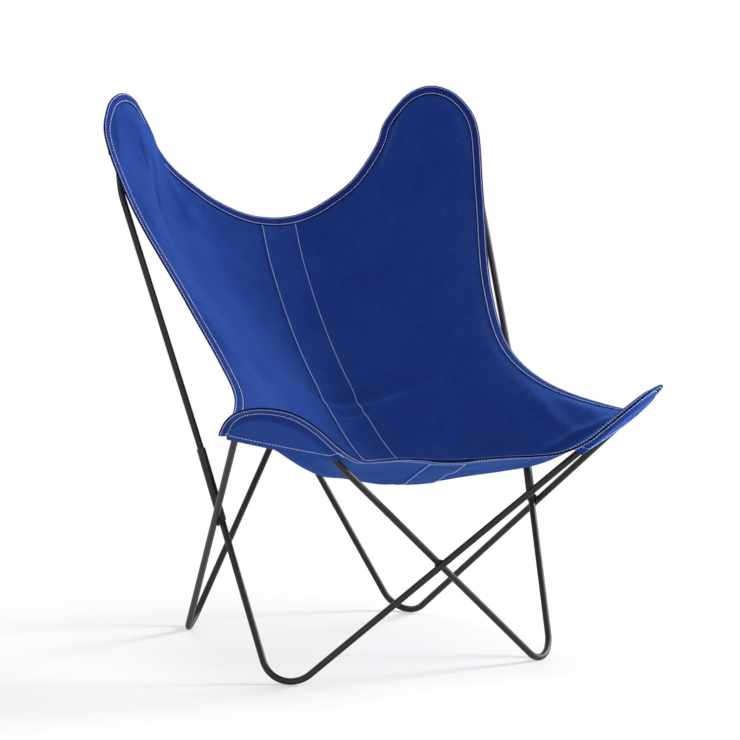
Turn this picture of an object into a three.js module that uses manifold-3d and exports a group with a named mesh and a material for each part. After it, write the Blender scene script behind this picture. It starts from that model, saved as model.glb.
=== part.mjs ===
// A demountable sling chair: two bent steel base rods that cross four times, two back hairpins that
// plug into sleeves welded on them, and a canvas sling that hangs by four pockets on the four horns.
// Millimetres, +Z up, front of the chair towards -Y. side is +1 on the chair's right and -1 on its left.
import * as THREE from "three";
import { mergeVertices } from "three/addons/utils/BufferGeometryUtils.js";
import Module from "manifold-3d";

// Steel
const rodDiameter = 11;
const touchGap = 0.3; // between two pieces that lie against each other
const sleeveWall = 1.5;
const sleevePlay = 0.35; // all round a rod inside its sleeve
const sleeveLength = 126;
const weldReach = 9; // half the width of a weld bead where two rods cross
const weldHeight = 4.2; // half its height
const collarWeld = 2.2; // leg of the fillet round a sleeve's lower rim
const footFlat = 0.4; // depth of the flat that each foot bend is worn to

// Corners of the bent rods, where the straights on both sides of a bend would meet
const frontHornOut = 391;
const frontHornForward = 421;
const frontHornHeight = 532;
const backHornOut = 310;
const backHornBack = 375;
const backHornHeight = 969;
const shoulderOut = 337; // the outer leg of a hairpin turns upright here
const shoulderBack = 249;
const shoulderHeight = 755;
const frontFootOut = 256;
const frontFootForward = 211;
const rearFootOut = 205;
const rearFootBack = 271;
const rearCrossingBack = 315;
const rearCrossingHeight = 348;

// Bend radii on the centre line
const frontHornRadius = 65;
const backHornRadius = 46;
const shoulderRadius = 150;
const frontFootRadius = 49;
const rearFootRadius = 46;
const socketRadius = 60; // the slight bend of a hairpin leg just above its sleeve

// Canvas
const clothThickness = 1.4;
const hemThickness = 1.1;
const hemWidth = 15;
const stripWidth = 70;
const pocketEase = 10; // from the rod's centre line to the seam at the tip of a horn
const backEdgeDip = 220; // middle of the back edge below the back horns
const frontEdgeDip = 107; // middle of the front edge below the front horns
const frontEdgeDraw = 49; // and behind them
const seamLift = 3.6; // of the seam off the plane of a horn's rods, on the sitter's side
const ridgeLift = 12; // of the cloth's middle above the axis of a rod it bears on
const ridgeReach = 55; // inside a horn, how far from the axis the cloth is down to its level
const ridgeOuterReach = 15; // and outside it
const bearingLength = 300; // of each leg of a horn, from its corner, that cloth can bear on
const backMouthReach = 128; // along the seam from a back horn's tip to its pocket's mouth, on the flank
const backMouthInnerReach = 150; // and on the back edge
const frontMouthReach = 118; // the same at a front horn
const frontMouthInnerReach = 160;

// Shares of the sizes above, and angles in degrees
const sideCrossingShare = 0.519; // of the rod from a front horn to the rear foot, where it is crossed
const rodInSleeveShare = 0.4; // of a sleeve's length, taken by the base rod
const legInSleeveShare = 0.56; // and by the hairpin leg
const seatValleyShare = 0.19; // of the way across, over which the seat is rounded at the strip
const backValleyShare = 0.6; // and the back
const valleyShares = [0.15, 0.55]; // of the way down, between which the one goes over into the other
const crowding = 0.45; // how much closer the lines of the cloth lie at the horns than half way
const rimShares = [0, 0.5, 0.95, 1]; // of the way from the panel to the underside of the rods
const fillShares = [0.4, 0.75]; // of the way on to the middle of a pocket's mouth
const backSeam = [
  { angle: -90, easeShare: 2.75, liftShare: -1.25 },
  { angle: -60, easeShare: 1.3, liftShare: 0.5 },
  { angle: -30, easeShare: 1, liftShare: 2 },
  { angle: 0, easeShare: 1.05, liftShare: 2.2 },
  { angle: 30, easeShare: 1.1, liftShare: 1.5 },
  { angle: 60, easeShare: 1.35, liftShare: 1 },
  { angle: 90, easeShare: 2.3, liftShare: 0.35 },
];
const frontSeam = [
  { angle: -90, easeShare: 2.1, liftShare: 1 },
  { angle: -60, easeShare: 1.25, liftShare: 1 },
  { angle: -30, easeShare: 1.4, liftShare: 1 },
  { angle: 0, easeShare: 1.1, liftShare: 1 },
  { angle: 30, easeShare: 1, liftShare: 1 },
  { angle: 60, easeShare: 1, liftShare: 1 },
  { angle: 90, easeShare: 1.9, liftShare: 1 },
];
// Each row: share of the way along the chord, then the bulge across it and the drop below it,
// both as shares of the chord's length. The bulge is inward on a side and towards the seat's
// middle on the back and front edges.
const sideEdgeShares = [
  [0.12, 0.032, 0.087],
  [0.35, 0.108, 0.161],
  [0.54, 0.14, 0.172],
  [0.72, 0.126, 0.126],
  [0.88, 0.066, 0.064],
];
const backEdgeShares = [
  [0.25, 0.014, 0.112],
  [0.5, 0.026, 0.162],
  [0.68, 0.039, 0.164],
  [0.85, 0.008, 0.133],
  [0.96, 0.001, 0.067],
];
const frontEdgeShares = [
  [0.38, 0.08, 0.054],
  [0.6, 0.087, 0.09],
  [0.76, 0.038, 0.094],
  [0.9, 0.005, 0.052],
];
const profileShares = [
  [0.05, 0, 0.06],
  [0.19, 0, 0.148],
  [0.36, 0, 0.2015],
  [0.58, 0, 0.2195],
  [0.79, 0, 0.1645],
  [0.9, 0, 0.079],
];

// Counts
const rodSides = 12;
const sleeveSides = 24;
const bendStep = 12; // degrees between two rings of a bend
const beadSides = 12;
const panelColumns = 13;
const panelRows = 30;
const edgeSamples = 240;
const settleRounds = 12;
const evenRounds = 3; // of evening out the hem's twist

const SIDES = { left: -1, right: 1 };
const rodRadius = rodDiameter / 2;
const sleeveRadius = rodRadius + sleevePlay + sleeveWall;
const clothRadius = rodRadius + touchGap + clothThickness; // from a rod's axis to the far face of cloth on it

const point = (x, y, z) => new THREE.Vector3(x, y, z);
const UP = point(0, 0, 1);
const between = (a, b, share) => a.clone().lerp(b, share);
const along = (a, direction, length) => a.clone().addScaledVector(direction, length);
const direction = (a, b) => b.clone().sub(a).normalize();
const radians = THREE.MathUtils.degToRad;

// Booleans

const wasm = await Module();
wasm.setup();

function solidOf(geometry) {
  const bare = geometry.clone();
  bare.deleteAttribute("normal");
  bare.deleteAttribute("uv");
  const merged = mergeVertices(bare);
  return new wasm.Manifold(
    new wasm.Mesh({
      numProp: 3,
      vertProperties: merged.attributes.position.array,
      triVerts: new Uint32Array(merged.index.array),
    }),
  );
}

function geometryOf(solid) {
  const mesh = solid.getMesh();
  return new THREE.BufferGeometry()
    .setAttribute("position", new THREE.BufferAttribute(mesh.vertProperties, 3))
    .setIndex(new THREE.BufferAttribute(mesh.triVerts, 1));
}

function cut(geometry, ...tools) {
  return geometryOf(tools.reduce((solid, tool) => solid.subtract(solidOf(tool)), solidOf(geometry)));
}

// Bent rods

// A polyline whose corners are rounded, read ring by ring: a ring at each end of a straight and one
// every few degrees of a bend.
class BentLine extends THREE.Curve {
  constructor(corners, radii) {
    super();
    this.rings = [{ place: corners[0], heading: direction(corners[0], corners[1]) }];
    radii.forEach((radius, i) => this.bend(corners[i], corners[i + 1], corners[i + 2], radius));
    const [last, end] = corners.slice(-2);
    this.rings.push({ place: end, heading: direction(last, end) });
  }

  bend(before, corner, after, radius) {
    const inward = direction(before, corner);
    const outward = direction(corner, after);
    const turn = inward.angleTo(outward);
    const start = along(corner, inward, -radius * Math.tan(turn / 2));
    const axis = inward.clone().cross(outward).normalize();
    const spoke = axis.clone().cross(inward).multiplyScalar(radius);
    const centre = start.clone().add(spoke);
    const steps = Math.max(2, Math.ceil(turn / radians(bendStep)));
    for (let i = 0; i <= steps; i++) {
      const angle = (turn * i) / steps;
      this.rings.push({
        place: centre.clone().sub(spoke.clone().applyAxisAngle(axis, angle)),
        heading: inward.clone().applyAxisAngle(axis, angle),
      });
    }
  }

  get steps() {
    return this.rings.length - 1;
  }

  ring(share) {
    return this.rings[Math.round(share * this.steps)];
  }

  getPointAt(share, target = point(0, 0, 0)) {
    return target.copy(this.ring(share).place);
  }

  getTangentAt(share, target = point(0, 0, 0)) {
    return target.copy(this.ring(share).heading);
  }
}

function disc(radius, sides) {
  const outline = new THREE.Shape();
  for (let i = 0; i < sides; i++) {
    const angle = (2 * Math.PI * i) / sides;
    const [x, y] = [radius * Math.cos(angle), radius * Math.sin(angle)];
    if (i) outline.lineTo(x, y);
    else outline.moveTo(x, y);
  }
  return outline;
}

function tube(outline, line) {
  return new THREE.ExtrudeGeometry(outline, { steps: line.steps, bevelEnabled: false, extrudePath: line });
}

const rodAlong = (line, radius = rodRadius) => tube(disc(radius, rodSides), line);

// Frame

// Each base rod carries the front horn of one side, so it is named by that side. The two are pushed
// apart front to back until they just clear each other where they cross.
const frontCrossingPitch = Math.hypot(frontHornForward - frontFootForward, frontHornHeight) / frontHornHeight;
const rearCrossingPitch = Math.hypot(rearCrossingBack - rearFootBack, rearCrossingHeight) / rearCrossingHeight;
const frontOffset = ((rodDiameter + touchGap) / 2) * frontCrossingPitch;
const rearOffset = ((rodDiameter + touchGap) / 2) * rearCrossingPitch;

const frontHorn = (side) => point(side * frontHornOut, -frontHornForward - side * frontOffset, frontHornHeight);
const backHorn = (side) => point(side * backHornOut, backHornBack + side * rearOffset, backHornHeight);
const shoulder = (side) => point(side * shoulderOut, shoulderBack + side * rearOffset, shoulderHeight);
const rearCrossing = (side) => point(0, rearCrossingBack - side * rearOffset, rearCrossingHeight);

// The sleeve's axis runs past the outer rod at a distance that lets the sleeve lie against it.
function sideSocket(side, rearFoot, frontFoot) {
  const horn = frontHorn(side);
  const crossed = between(horn, rearFoot, sideCrossingShare);
  const inward = direction(horn, rearFoot).cross(direction(frontFoot, crossed)).normalize();
  if (inward.x * side > 0) inward.negate();
  const start = along(crossed, inward, rodRadius + sleeveRadius + touchGap);
  return { crossed, start, heading: direction(frontFoot, start) };
}

function rearSocket(side, rearFoot) {
  const crossing = rearCrossing(side);
  const heading = direction(rearFoot, crossing);
  return { crossed: crossing, start: along(crossing, heading, sleeveRadius * 2), heading };
}

// The lowest point of a bend's centre line.
function lowestOf(before, corner, after, radius) {
  const back = direction(corner, before);
  const on = direction(corner, after);
  const half = back.angleTo(on) / 2;
  const normal = back.clone().cross(on).normalize();
  const centre = along(corner, back.add(on).normalize(), radius / Math.sin(half));
  const down = UP.clone().negate().projectOnPlane(normal).normalize();
  return along(centre, down, radius);
}

// The feet are let down or raised until every foot bend stands on the floor.
function settle() {
  const feet = {};
  for (const side of Object.values(SIDES)) {
    feet[side] = {
      front: point(side * frontFootOut, -frontFootForward + side * frontOffset, 0),
      rear: point(side * rearFootOut, rearFootBack - side * frontOffset, 0),
    };
  }
  for (let round = 0; round < settleRounds; round++) {
    for (const side of Object.values(SIDES)) {
      const { front, rear } = feet[side];
      const socket = sideSocket(side, rear, front);
      const frontLow = lowestOf(frontHorn(-side), front, socket.start, frontFootRadius);
      const rearLow = lowestOf(rearCrossing(side), rear, frontHorn(side), rearFootRadius);
      front.z += rodRadius - footFlat - frontLow.z;
      rear.z += rodRadius - footFlat - rearLow.z;
    }
  }
  return feet;
}

const feet = settle();
const sockets = {};
for (const side of Object.values(SIDES)) {
  sockets[side] = {
    side: sideSocket(side, feet[side].rear, feet[side].front),
    rear: rearSocket(side, feet[side].rear),
  };
}

const inSocket = (socket, length) => along(socket.start, socket.heading, length);

function baseRodLine(side) {
  const corners = [
    inSocket(sockets[side].rear, sleeveLength * rodInSleeveShare),
    feet[side].rear,
    frontHorn(side),
    feet[-side].front,
    inSocket(sockets[-side].side, sleeveLength * rodInSleeveShare),
  ];
  return new BentLine(corners, [rearFootRadius, frontHornRadius, frontFootRadius]);
}

function hairpinCorners(side) {
  const outer = sockets[side].side;
  const inner = sockets[-side].rear;
  const legStart = sleeveLength * (1 - legInSleeveShare);
  const rise = sleeveLength + rodRadius;
  return [
    inSocket(outer, legStart),
    inSocket(outer, rise),
    shoulder(side),
    backHorn(side),
    inSocket(inner, rise),
    inSocket(inner, legStart),
  ];
}

const hairpinLine = (side) =>
  new BentLine(hairpinCorners(side), [socketRadius, shoulderRadius, backHornRadius, socketRadius]);

function sleeve(socket) {
  const ring = disc(sleeveRadius, sleeveSides);
  ring.holes.push(disc(sleeveRadius - sleeveWall, sleeveSides));
  return tube(ring, new BentLine([socket.start, inSocket(socket, sleeveLength)], []));
}

// A fillet between a sleeve's lower rim and the rod that enters it.
function collar(socket) {
  const bore = rodRadius + touchGap;
  const outline = [
    new THREE.Vector2(bore, -collarWeld),
    new THREE.Vector2(sleeveRadius, 0),
    new THREE.Vector2(bore, 0),
    new THREE.Vector2(bore, -collarWeld),
  ];
  const ring = new THREE.LatheGeometry(outline, sleeveSides);
  const turn = new THREE.Quaternion().setFromUnitVectors(point(0, 1, 0), socket.heading);
  const foot = inSocket(socket, -touchGap);
  return ring.applyMatrix4(new THREE.Matrix4().compose(foot, turn, point(1, 1, 1)));
}

// A bead in the notch between two crossing bars, clear of both.
function bead(first, second) {
  const middle = between(first.place, second.place, 1 / 2);
  const blob = new THREE.SphereGeometry(1, beadSides, beadSides / 2);
  const turn = new THREE.Quaternion().setFromUnitVectors(UP, direction(first.place, second.place));
  const size = point(weldReach, weldReach, weldHeight);
  blob.applyMatrix4(new THREE.Matrix4().compose(middle, turn, size));
  const bars = [first, second].map(({ place, heading, radius }) => {
    const half = weldReach * 2;
    const line = new BentLine([along(place, heading, -half), along(place, heading, half)], []);
    return tube(disc((radius + touchGap) / Math.cos(Math.PI / beadSides), beadSides), line);
  });
  return cut(blob, ...bars);
}

// The points of two straight bars that lie closest to each other.
function closest(a, b) {
  const normal = a.heading.clone().cross(b.heading);
  const gap = b.place.clone().sub(a.place);
  const reach = gap.clone().cross(b.heading).dot(normal) / normal.lengthSq();
  const other = gap.clone().cross(a.heading).dot(normal) / normal.lengthSq();
  return [
    { ...a, place: along(a.place, a.heading, reach) },
    { ...b, place: along(b.place, b.heading, other) },
  ];
}

const bar = (a, b, radius = rodRadius) => ({ place: a, heading: direction(a, b), radius });

// Sling

// A place on a horn is given by its angle round the bend, its reach beyond the rod's centre line and
// its lift off the plane of the rods. Positive angles lie on the chair's flank.
class Horn {
  constructor(corner, flank, inner, radius, facing) {
    const a = direction(corner, flank);
    const b = direction(corner, inner);
    const half = a.angleTo(b) / 2;
    this.radius = radius;
    this.out = a.clone().add(b).normalize().negate();
    this.centre = along(corner, this.out, -radius / Math.sin(half));
    this.across = a.clone().projectOnPlane(this.out).normalize();
    this.normal = a.clone().cross(b).normalize();
    if (this.normal.dot(facing) < 0) this.normal.negate();
    this.deep = along(corner, this.out, -bearingLength);
    const ends = [a, b].map((leg) => along(corner, leg, bearingLength));
    this.line = new BentLine([ends[0], corner, ends[1]], [radius]);
  }

  at(angle, reach, lift) {
    const spoke = this.radius + reach;
    return this.centre
      .clone()
      .addScaledVector(this.out, spoke * Math.cos(radians(angle)))
      .addScaledVector(this.across, spoke * Math.sin(radians(angle)))
      .addScaledVector(this.normal, lift);
  }

  liftOf(place) {
    return place.clone().sub(this.centre).dot(this.normal);
  }

  // Cloth that would run through the rod is lifted over it, with a slope on both sides.
  bear(place) {
    let [least, nearest] = [Infinity, place];
    for (let i = 0; i < this.line.steps; i++) {
      const straight = new THREE.Line3(this.line.rings[i].place, this.line.rings[i + 1].place);
      const spot = straight.closestPointToPoint(place, true, point(0, 0, 0));
      const gap = spot.distanceTo(place);
      if (gap < least) [least, nearest] = [gap, spot];
    }
    const away = place.clone().sub(nearest);
    const lift = away.dot(this.normal);
    const aside = Math.sqrt(Math.max(least ** 2 - lift ** 2, 0));
    const outside = away.dot(nearest.clone().sub(this.deep)) > 0;
    const wanted = ridgeLift * (1 - (aside / (outside ? ridgeOuterReach : ridgeReach)) ** 2);
    return along(place, this.normal, Math.max(wanted - lift, 0));
  }
}

const horns = {};
for (const side of Object.values(SIDES)) {
  const hairpin = hairpinCorners(side);
  horns[side] = {
    front: new Horn(frontHorn(side), feet[side].rear, feet[-side].front, frontHornRadius, UP),
    back: new Horn(backHorn(side), hairpin[2], hairpin[4], backHornRadius, point(0, -1, 0)),
  };
}

const seamPoints = (horn, seam) =>
  seam.map((s) => horn.at(s.angle, pocketEase * s.easeShare, seamLift * s.liftShare));

// Points off a chord: share of the way, bulge along a given direction, and drop.
function hung(from, to, shares, bulge) {
  const span = from.distanceTo(to);
  return shares.map(([t, bulgeShare, dropShare]) =>
    along(along(between(from, to, t), bulge, span * bulgeShare), UP, -span * dropShare),
  );
}

// A stretch of a smooth curve, read by the share of its length.
class Stretch {
  constructor(curve, from, to) {
    this.curve = curve;
    this.stops = [{ t: from, length: 0 }];
    let last = curve.getPoint(from);
    for (let i = 1; i <= edgeSamples; i++) {
      const t = from + ((to - from) * i) / edgeSamples;
      const next = curve.getPoint(t);
      this.stops.push({ t, length: this.stops[i - 1].length + next.distanceTo(last) });
      last = next;
    }
    this.length = this.stops[edgeSamples].length;
  }

  at(share) {
    const wanted = share * this.length;
    let low = 0;
    let high = edgeSamples;
    while (high - low > 1) {
      const middle = (low + high) >> 1;
      if (this.stops[middle].length > wanted) high = middle;
      else low = middle;
    }
    const [a, b] = [this.stops[low], this.stops[high]];
    const within = (wanted - a.length) / (b.length - a.length);
    return this.curve.getPoint(a.t + (b.t - a.t) * within);
  }
}

const smooth = (points, closed) => new THREE.CatmullRomCurve3(points, closed, "centripetal");

const backTips = Object.values(SIDES).map((side) => horns[side].back.at(0, pocketEase, seamLift));
const frontTips = Object.values(SIDES).map((side) => horns[side].front.at(0, pocketEase, seamLift));
const backMiddle = along(between(...backTips, 1 / 2), UP, -backEdgeDip);
const frontMiddle = along(between(...frontTips, 1 / 2), UP, -frontEdgeDip);
frontMiddle.y += frontEdgeDraw;

// The seam line of one half, from the middle of the back edge round both horns to the middle of the
// front edge, with the places of its corners in the list.
function seamLine(side) {
  const back = seamPoints(horns[side].back, backSeam);
  const front = seamPoints(horns[side].front, frontSeam).reverse();
  const forward = point(0, -1, 0);
  const rearward = point(0, 1, 0);
  const points = [
    backMiddle,
    ...hung(backMiddle, back[0], backEdgeShares, forward),
    ...back,
    ...hung(back.at(-1), front[0], sideEdgeShares, point(-side, 0, 0)),
    ...front,
    ...hung(frontMiddle, front.at(-1), frontEdgeShares, rearward).reverse(),
    frontMiddle,
  ];
  const tips = [back, front].map((list) => points.indexOf(list[(list.length - 1) / 2]));
  return { points, tips };
}

const halves = {};
for (const side of Object.values(SIDES)) halves[side] = seamLine(side);
const right = halves[SIDES.right].points;
const left = halves[SIDES.left].points;
const ring = smooth([...right, ...left.slice(1, -1).reverse()], true);
const middleLine = smooth([backMiddle, ...hung(backMiddle, frontMiddle, profileShares, UP), frontMiddle]);
const profile = new Stretch(middleLine, 0, 1);

// One half of the sling inside its seam. across runs from the middle to the flank and down from the
// back edge to the front edge, both from 0 to 1.
class Half {
  constructor(side) {
    this.side = side;
    const { points, tips } = halves[side];
    const total = right.length + left.length - 2;
    const place = (i) => (side > 0 ? i : total - i) / total;
    this.back = new Stretch(ring, place(0), place(tips[0]));
    this.flank = new Stretch(ring, place(tips[0]), place(tips[1]));
    this.front = new Stretch(ring, place(points.length - 1), place(tips[1]));
  }

  // The middle and the flank are joined by curves that leave the middle level and soon run straight.
  crossing(across, down, middle, flank) {
    const seated = THREE.MathUtils.smoothstep(down, ...valleyShares);
    const valley = THREE.MathUtils.lerp(backValleyShare, seatValleyShare, seated);
    const rise = (share) => Math.hypot(share, valley) - valley;
    const level = rise(across) / rise(1);
    return point(
      middle.x + (flank.x - middle.x) * across,
      middle.y + (flank.y - middle.y) * level,
      middle.z + (flank.z - middle.z) * level,
    );
  }

  at(across, down) {
    const crossed = (row) => this.crossing(across, row, profile.at(row), this.flank.at(row));
    const place = crossed(down);
    const backFault = this.back.at(across).sub(crossed(0));
    const frontFault = this.front.at(across).sub(crossed(1));
    place.addScaledVector(backFault, (1 - down) ** 2).addScaledVector(frontFault, down ** 2);
    const { front, back } = horns[this.side];
    return back.bear(front.bear(place));
  }

  // The share across at which the cloth is a given distance from the middle plane.
  shareAt(distance, down) {
    let low = 0;
    let high = 1 / 2;
    for (let i = 0; i < edgeSamples / panelColumns; i++) {
      const middle = (low + high) / 2;
      if (this.at(middle, down).x * this.side > distance) high = middle;
      else low = middle;
    }
    return (low + high) / 2;
  }

  // The upper face's normal, read a little inside the rounded corners.
  normalAt(across, down) {
    const step = 1 / panelRows;
    const a = Math.min(Math.max(across, step / 2), 1 - step * 2);
    const d = Math.min(Math.max(down, step), 1 - step);
    const alongAcross = this.at(a + step / 2, d).sub(this.at(a - step / 2, d));
    const alongDown = this.at(a, d + step / 2).sub(this.at(a, d - step / 2));
    return alongDown.cross(alongAcross).multiplyScalar(this.side).normalize();
  }
}

// The grid of one panel, and the stations of its seam with the frame of the hem there.
function layOut(side) {
  const half = new Half(side);
  const grid = [];
  for (let j = 0; j <= panelRows; j++) {
    const turn = (2 * Math.PI * j) / panelRows;
    const down = j / panelRows - (crowding * Math.sin(turn)) / (2 * Math.PI);
    const inner = half.shareAt(touchGap, down);
    const outer = half.shareAt(stripWidth / 2 + hemThickness, down);
    const row = [];
    for (let i = 0; i <= panelColumns; i++) {
      const part = (i - 1) / (panelColumns - 1);
      const across = i ? outer + (1 - outer) * part * (1 + crowding * (1 - part)) : inner;
      row.push({ place: half.at(across, down), normal: half.normalAt(across, down) });
    }
    grid.push(row);
  }
  const stations = [
    ...grid[0],
    ...grid.slice(1).map((row) => row[panelColumns]),
    ...grid[panelRows].slice(0, -1).reverse(),
  ];
  for (let round = 0; round < evenRounds; round++) {
    const normals = stations.map((station) => station.normal);
    stations.slice(1, -1).forEach((station, i) => {
      const around = normals[i].clone().add(normals[i + 2]);
      station.normal = around.addScaledVector(normals[i + 1], 2).normalize();
    });
  }
  stations.forEach((station, i) => {
    const [before, after] = [stations[i - 1], stations[i + 1]];
    const outwards = before ? point(-side, 0, 0) : point(side, 0, 0);
    const heading = before && after ? direction(before.place, after.place) : outwards;
    station.normal = station.normal.projectOnPlane(heading).normalize();
    station.outward = heading.cross(station.normal).multiplyScalar(-side).normalize();
  });
  return { grid, stations };
}

const layouts = {};
for (const side of Object.values(SIDES)) layouts[side] = layOut(side);

const off = (station, outward, lift) =>
  along(along(station.place, station.outward, outward), station.normal, lift);

// A closed sheet from points, the normals there, and triangles that face along them.
function sheet(places, normals, triangles, thickness) {
  const count = places.length;
  const faces = [];
  const open = new Map();
  for (const [a, b, c] of triangles) {
    faces.push([a, b, c], [c + count, b + count, a + count]);
    for (const [from, to] of [[a, b], [b, c], [c, a]]) {
      if (!open.delete(to + "," + from)) open.set(from + "," + to, [from, to]);
    }
  }
  for (const [from, to] of open.values()) {
    faces.push([to, from, from + count], [to, from + count, to + count]);
  }
  const upper = places.map((place, i) => along(place, normals[i], thickness / 2));
  const lower = places.map((place, i) => along(place, normals[i], -thickness / 2));
  return shell([...upper, ...lower], faces);
}

function shell(places, faces) {
  return new THREE.BufferGeometry().setFromPoints(places).setIndex(faces.flat());
}

// Two triangles for each cell of a grid, turned over on the left side.
function cells(rows, columns, index, side) {
  const triangles = [];
  for (let j = 0; j < rows; j++) {
    for (let i = 0; i < columns; i++) {
      const [a, b, c, d] = [index(j, i), index(j, i + 1), index(j + 1, i + 1), index(j + 1, i)];
      triangles.push(...(side > 0 ? [[a, c, b], [a, d, c]] : [[a, b, c], [a, c, d]]));
    }
  }
  return triangles;
}

function panel(side) {
  const { grid, stations } = layouts[side];
  const flat = grid.flat();
  const rim = hemWidth - hemThickness - touchGap;
  const places = [...flat.map((s) => s.place), ...stations.map((s) => off(s, rim, 0))];
  const normals = [...flat, ...stations].map((s) => s.normal);
  const index = (j, i) => j * (panelColumns + 1) + i;
  const ringOf = (row, i) => (row ? flat.indexOf(stations[i]) : flat.length + i);
  return sheet(
    places,
    normals,
    [
      ...cells(panelRows, panelColumns, index, side),
      ...cells(1, stations.length - 1, ringOf, side),
    ],
    clothThickness,
  );
}

// A folded hem that grips the panel's edge.
function hem(side) {
  const { stations } = layouts[side];
  const inner = clothThickness / 2 + 2 * touchGap;
  const outer = inner + hemThickness;
  const floor = hemWidth - hemThickness;
  const outline = [
    [touchGap, inner],
    [touchGap, outer],
    [hemWidth, outer],
    [hemWidth, -outer],
    [touchGap, -outer],
    [touchGap, -inner],
    [floor, -inner],
    [floor, inner],
  ];
  const places = stations.flatMap((s) => outline.map(([outward, lift]) => off(s, outward, lift)));
  const sides = outline.length;
  const faces = [];
  const turned = (face) => (side < 0 ? face : [...face].reverse());
  for (let k = 0; k + 1 < stations.length; k++) {
    for (let i = 0; i < sides; i++) {
      const j = (i + 1) % sides;
      const [a, b, c, d] = [k * sides + i, k * sides + j, (k + 1) * sides + j, (k + 1) * sides + i];
      const firstSplit = i % 4 === 3;
      faces.push(...(firstSplit ? [[a, b, c], [a, c, d]] : [[a, b, d], [b, c, d]]).map(turned));
    }
  }
  const end = (stations.length - 1) * sides;
  for (const [a, b, c, d] of [[0, 1, 2, 7], [7, 2, 3, 6], [6, 3, 4, 5]]) {
    faces.push(turned([c, b, a]), turned([d, c, a]));
    faces.push(turned([end + a, end + b, end + c]), turned([end + a, end + c, end + d]));
  }
  return shell(places, faces);
}

// The middle strip lies on both panels, over the line where they meet.
function strip() {
  const lift = clothThickness + touchGap;
  const rows = [];
  for (let j = 0; j <= panelRows; j++) {
    const edgeOf = (side) => {
      const [inner, outer] = layouts[side].grid[j];
      const width = stripWidth / 2;
      const share = (width - Math.abs(inner.place.x)) / Math.abs(outer.place.x - inner.place.x);
      const normal = between(inner.normal, outer.normal, share).normalize();
      return { place: between(inner.place, outer.place, share), normal };
    };
    const [l, r] = [edgeOf(SIDES.left), edgeOf(SIDES.right)];
    const inner = Object.values(SIDES).map((side) => layouts[side].grid[j][0]);
    const middle = {
      place: between(inner[0].place, inner[1].place, 1 / 2),
      normal: inner[0].normal.clone().add(inner[1].normal).normalize(),
    };
    rows.push([l, middle, r]);
  }
  const flat = rows.flat();
  const inset = touchGap;
  const pull = (j, towards) => {
    rows[j].forEach((stop, i) => {
      stop.place = along(stop.place, direction(stop.place, rows[towards][i].place), inset);
    });
  };
  pull(0, 1);
  pull(panelRows, panelRows - 1);
  const places = flat.map((s) => along(s.place, s.normal, lift));
  const index = (j, i) => j * 3 + i;
  return sheet(places, flat.map((s) => s.normal), cells(panelRows, 2, index, 1), clothThickness);
}

// A pocket: a half round of cloth sewn on below the seam, round the bend of the rod and open along
// the straight line between the ends of its seam.
function pocket(side, horn, tip, reaches) {
  const { stations } = layouts[side];
  const steps = [];
  for (const [k, heading] of [-1, 1].entries()) {
    let length = 0;
    let i = tip;
    while (length < reaches[k]) {
      length += stations[i].place.distanceTo(stations[i + heading].place);
      i += heading;
    }
    steps.push(i);
  }
  const sewn = stations.slice(steps[0], steps[1] + 1);
  const rim = sewn.map((s) => off(s, -clothThickness, -clothThickness - 2 * touchGap));
  const mouth = between(rim[0], rim.at(-1), 1 / 2);
  const under = -clothRadius + clothThickness / 2 - touchGap;
  const insets = rimShares.map((share, k) => (k * pocketEase * share) / rimShares.length);
  const rings = rimShares.map((share, k) =>
    rim.map((place) => {
      const inset = along(place, direction(place, mouth), insets[k]);
      const lift = horn.liftOf(inset);
      return along(inset, horn.normal, (under - lift) * share);
    }),
  );
  const level = along(mouth, horn.normal, under - horn.liftOf(mouth));
  const lastRim = rings.at(-1);
  for (const share of fillShares) rings.push(lastRim.map((place) => between(place, level, share)));
  const places = [...rings.flat(), level];
  const last = rings.length - 1;
  const index = (j, i) => j * rim.length + i;
  const triangles = cells(last, rim.length - 1, index, side);
  for (let i = 0; i + 1 < rim.length; i++) {
    const [a, b] = [index(last, i), index(last, i + 1)];
    triangles.push(side > 0 ? [a, places.length - 1, b] : [a, b, places.length - 1]);
  }
  const skin = shell(places, triangles);
  skin.computeVertexNormals();
  const normals = places.map((_, i) => point(0, 0, 0).fromBufferAttribute(skin.attributes.normal, i));
  return sheet(places, normals, triangles, clothThickness);
}

// Assembly

const steel = () => new THREE.MeshStandardMaterial({ color: 0x1b1b1d, roughness: 0.42, metalness: 0.75 });
const weldSteel = () => new THREE.MeshStandardMaterial({ color: 0x222224, roughness: 0.6, metalness: 0.7 });
const canvas = () => new THREE.MeshStandardMaterial({ color: 0x1f3d99, roughness: 0.9, metalness: 0 });
const hemCanvas = () => new THREE.MeshStandardMaterial({ color: 0x1c3588, roughness: 0.9, metalness: 0 });

const chair = new THREE.Group();

function add(name, geometry, material) {
  const mesh = new THREE.Mesh(geometry, material);
  mesh.name = name;
  chair.add(mesh);
}

const span = Math.max(frontHornOut, backHornHeight);
const floorCut = new THREE.BoxGeometry(span * 2, span * 2, span).translate(0, 0, -span / 2);

for (const [name, side] of Object.entries(SIDES)) {
  add("base_rod_" + name, cut(rodAlong(baseRodLine(side)), floorCut), steel());
  add("back_hairpin_" + name, rodAlong(hairpinLine(side)), steel());
  add("side_sleeve_" + name, sleeve(sockets[side].side), steel());
  add("rear_sleeve_" + name, sleeve(sockets[side].rear), steel());
  add("side_sleeve_weld_" + name, collar(sockets[side].side), weldSteel());
  add("rear_sleeve_weld_" + name, collar(sockets[side].rear), weldSteel());
  const outer = bar(frontHorn(side), feet[side].rear);
  const inner = bar(feet[side].front, sockets[side].side.start, sleeveRadius);
  add("side_crossing_weld_" + name, bead(...closest(outer, inner)), weldSteel());
}

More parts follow.
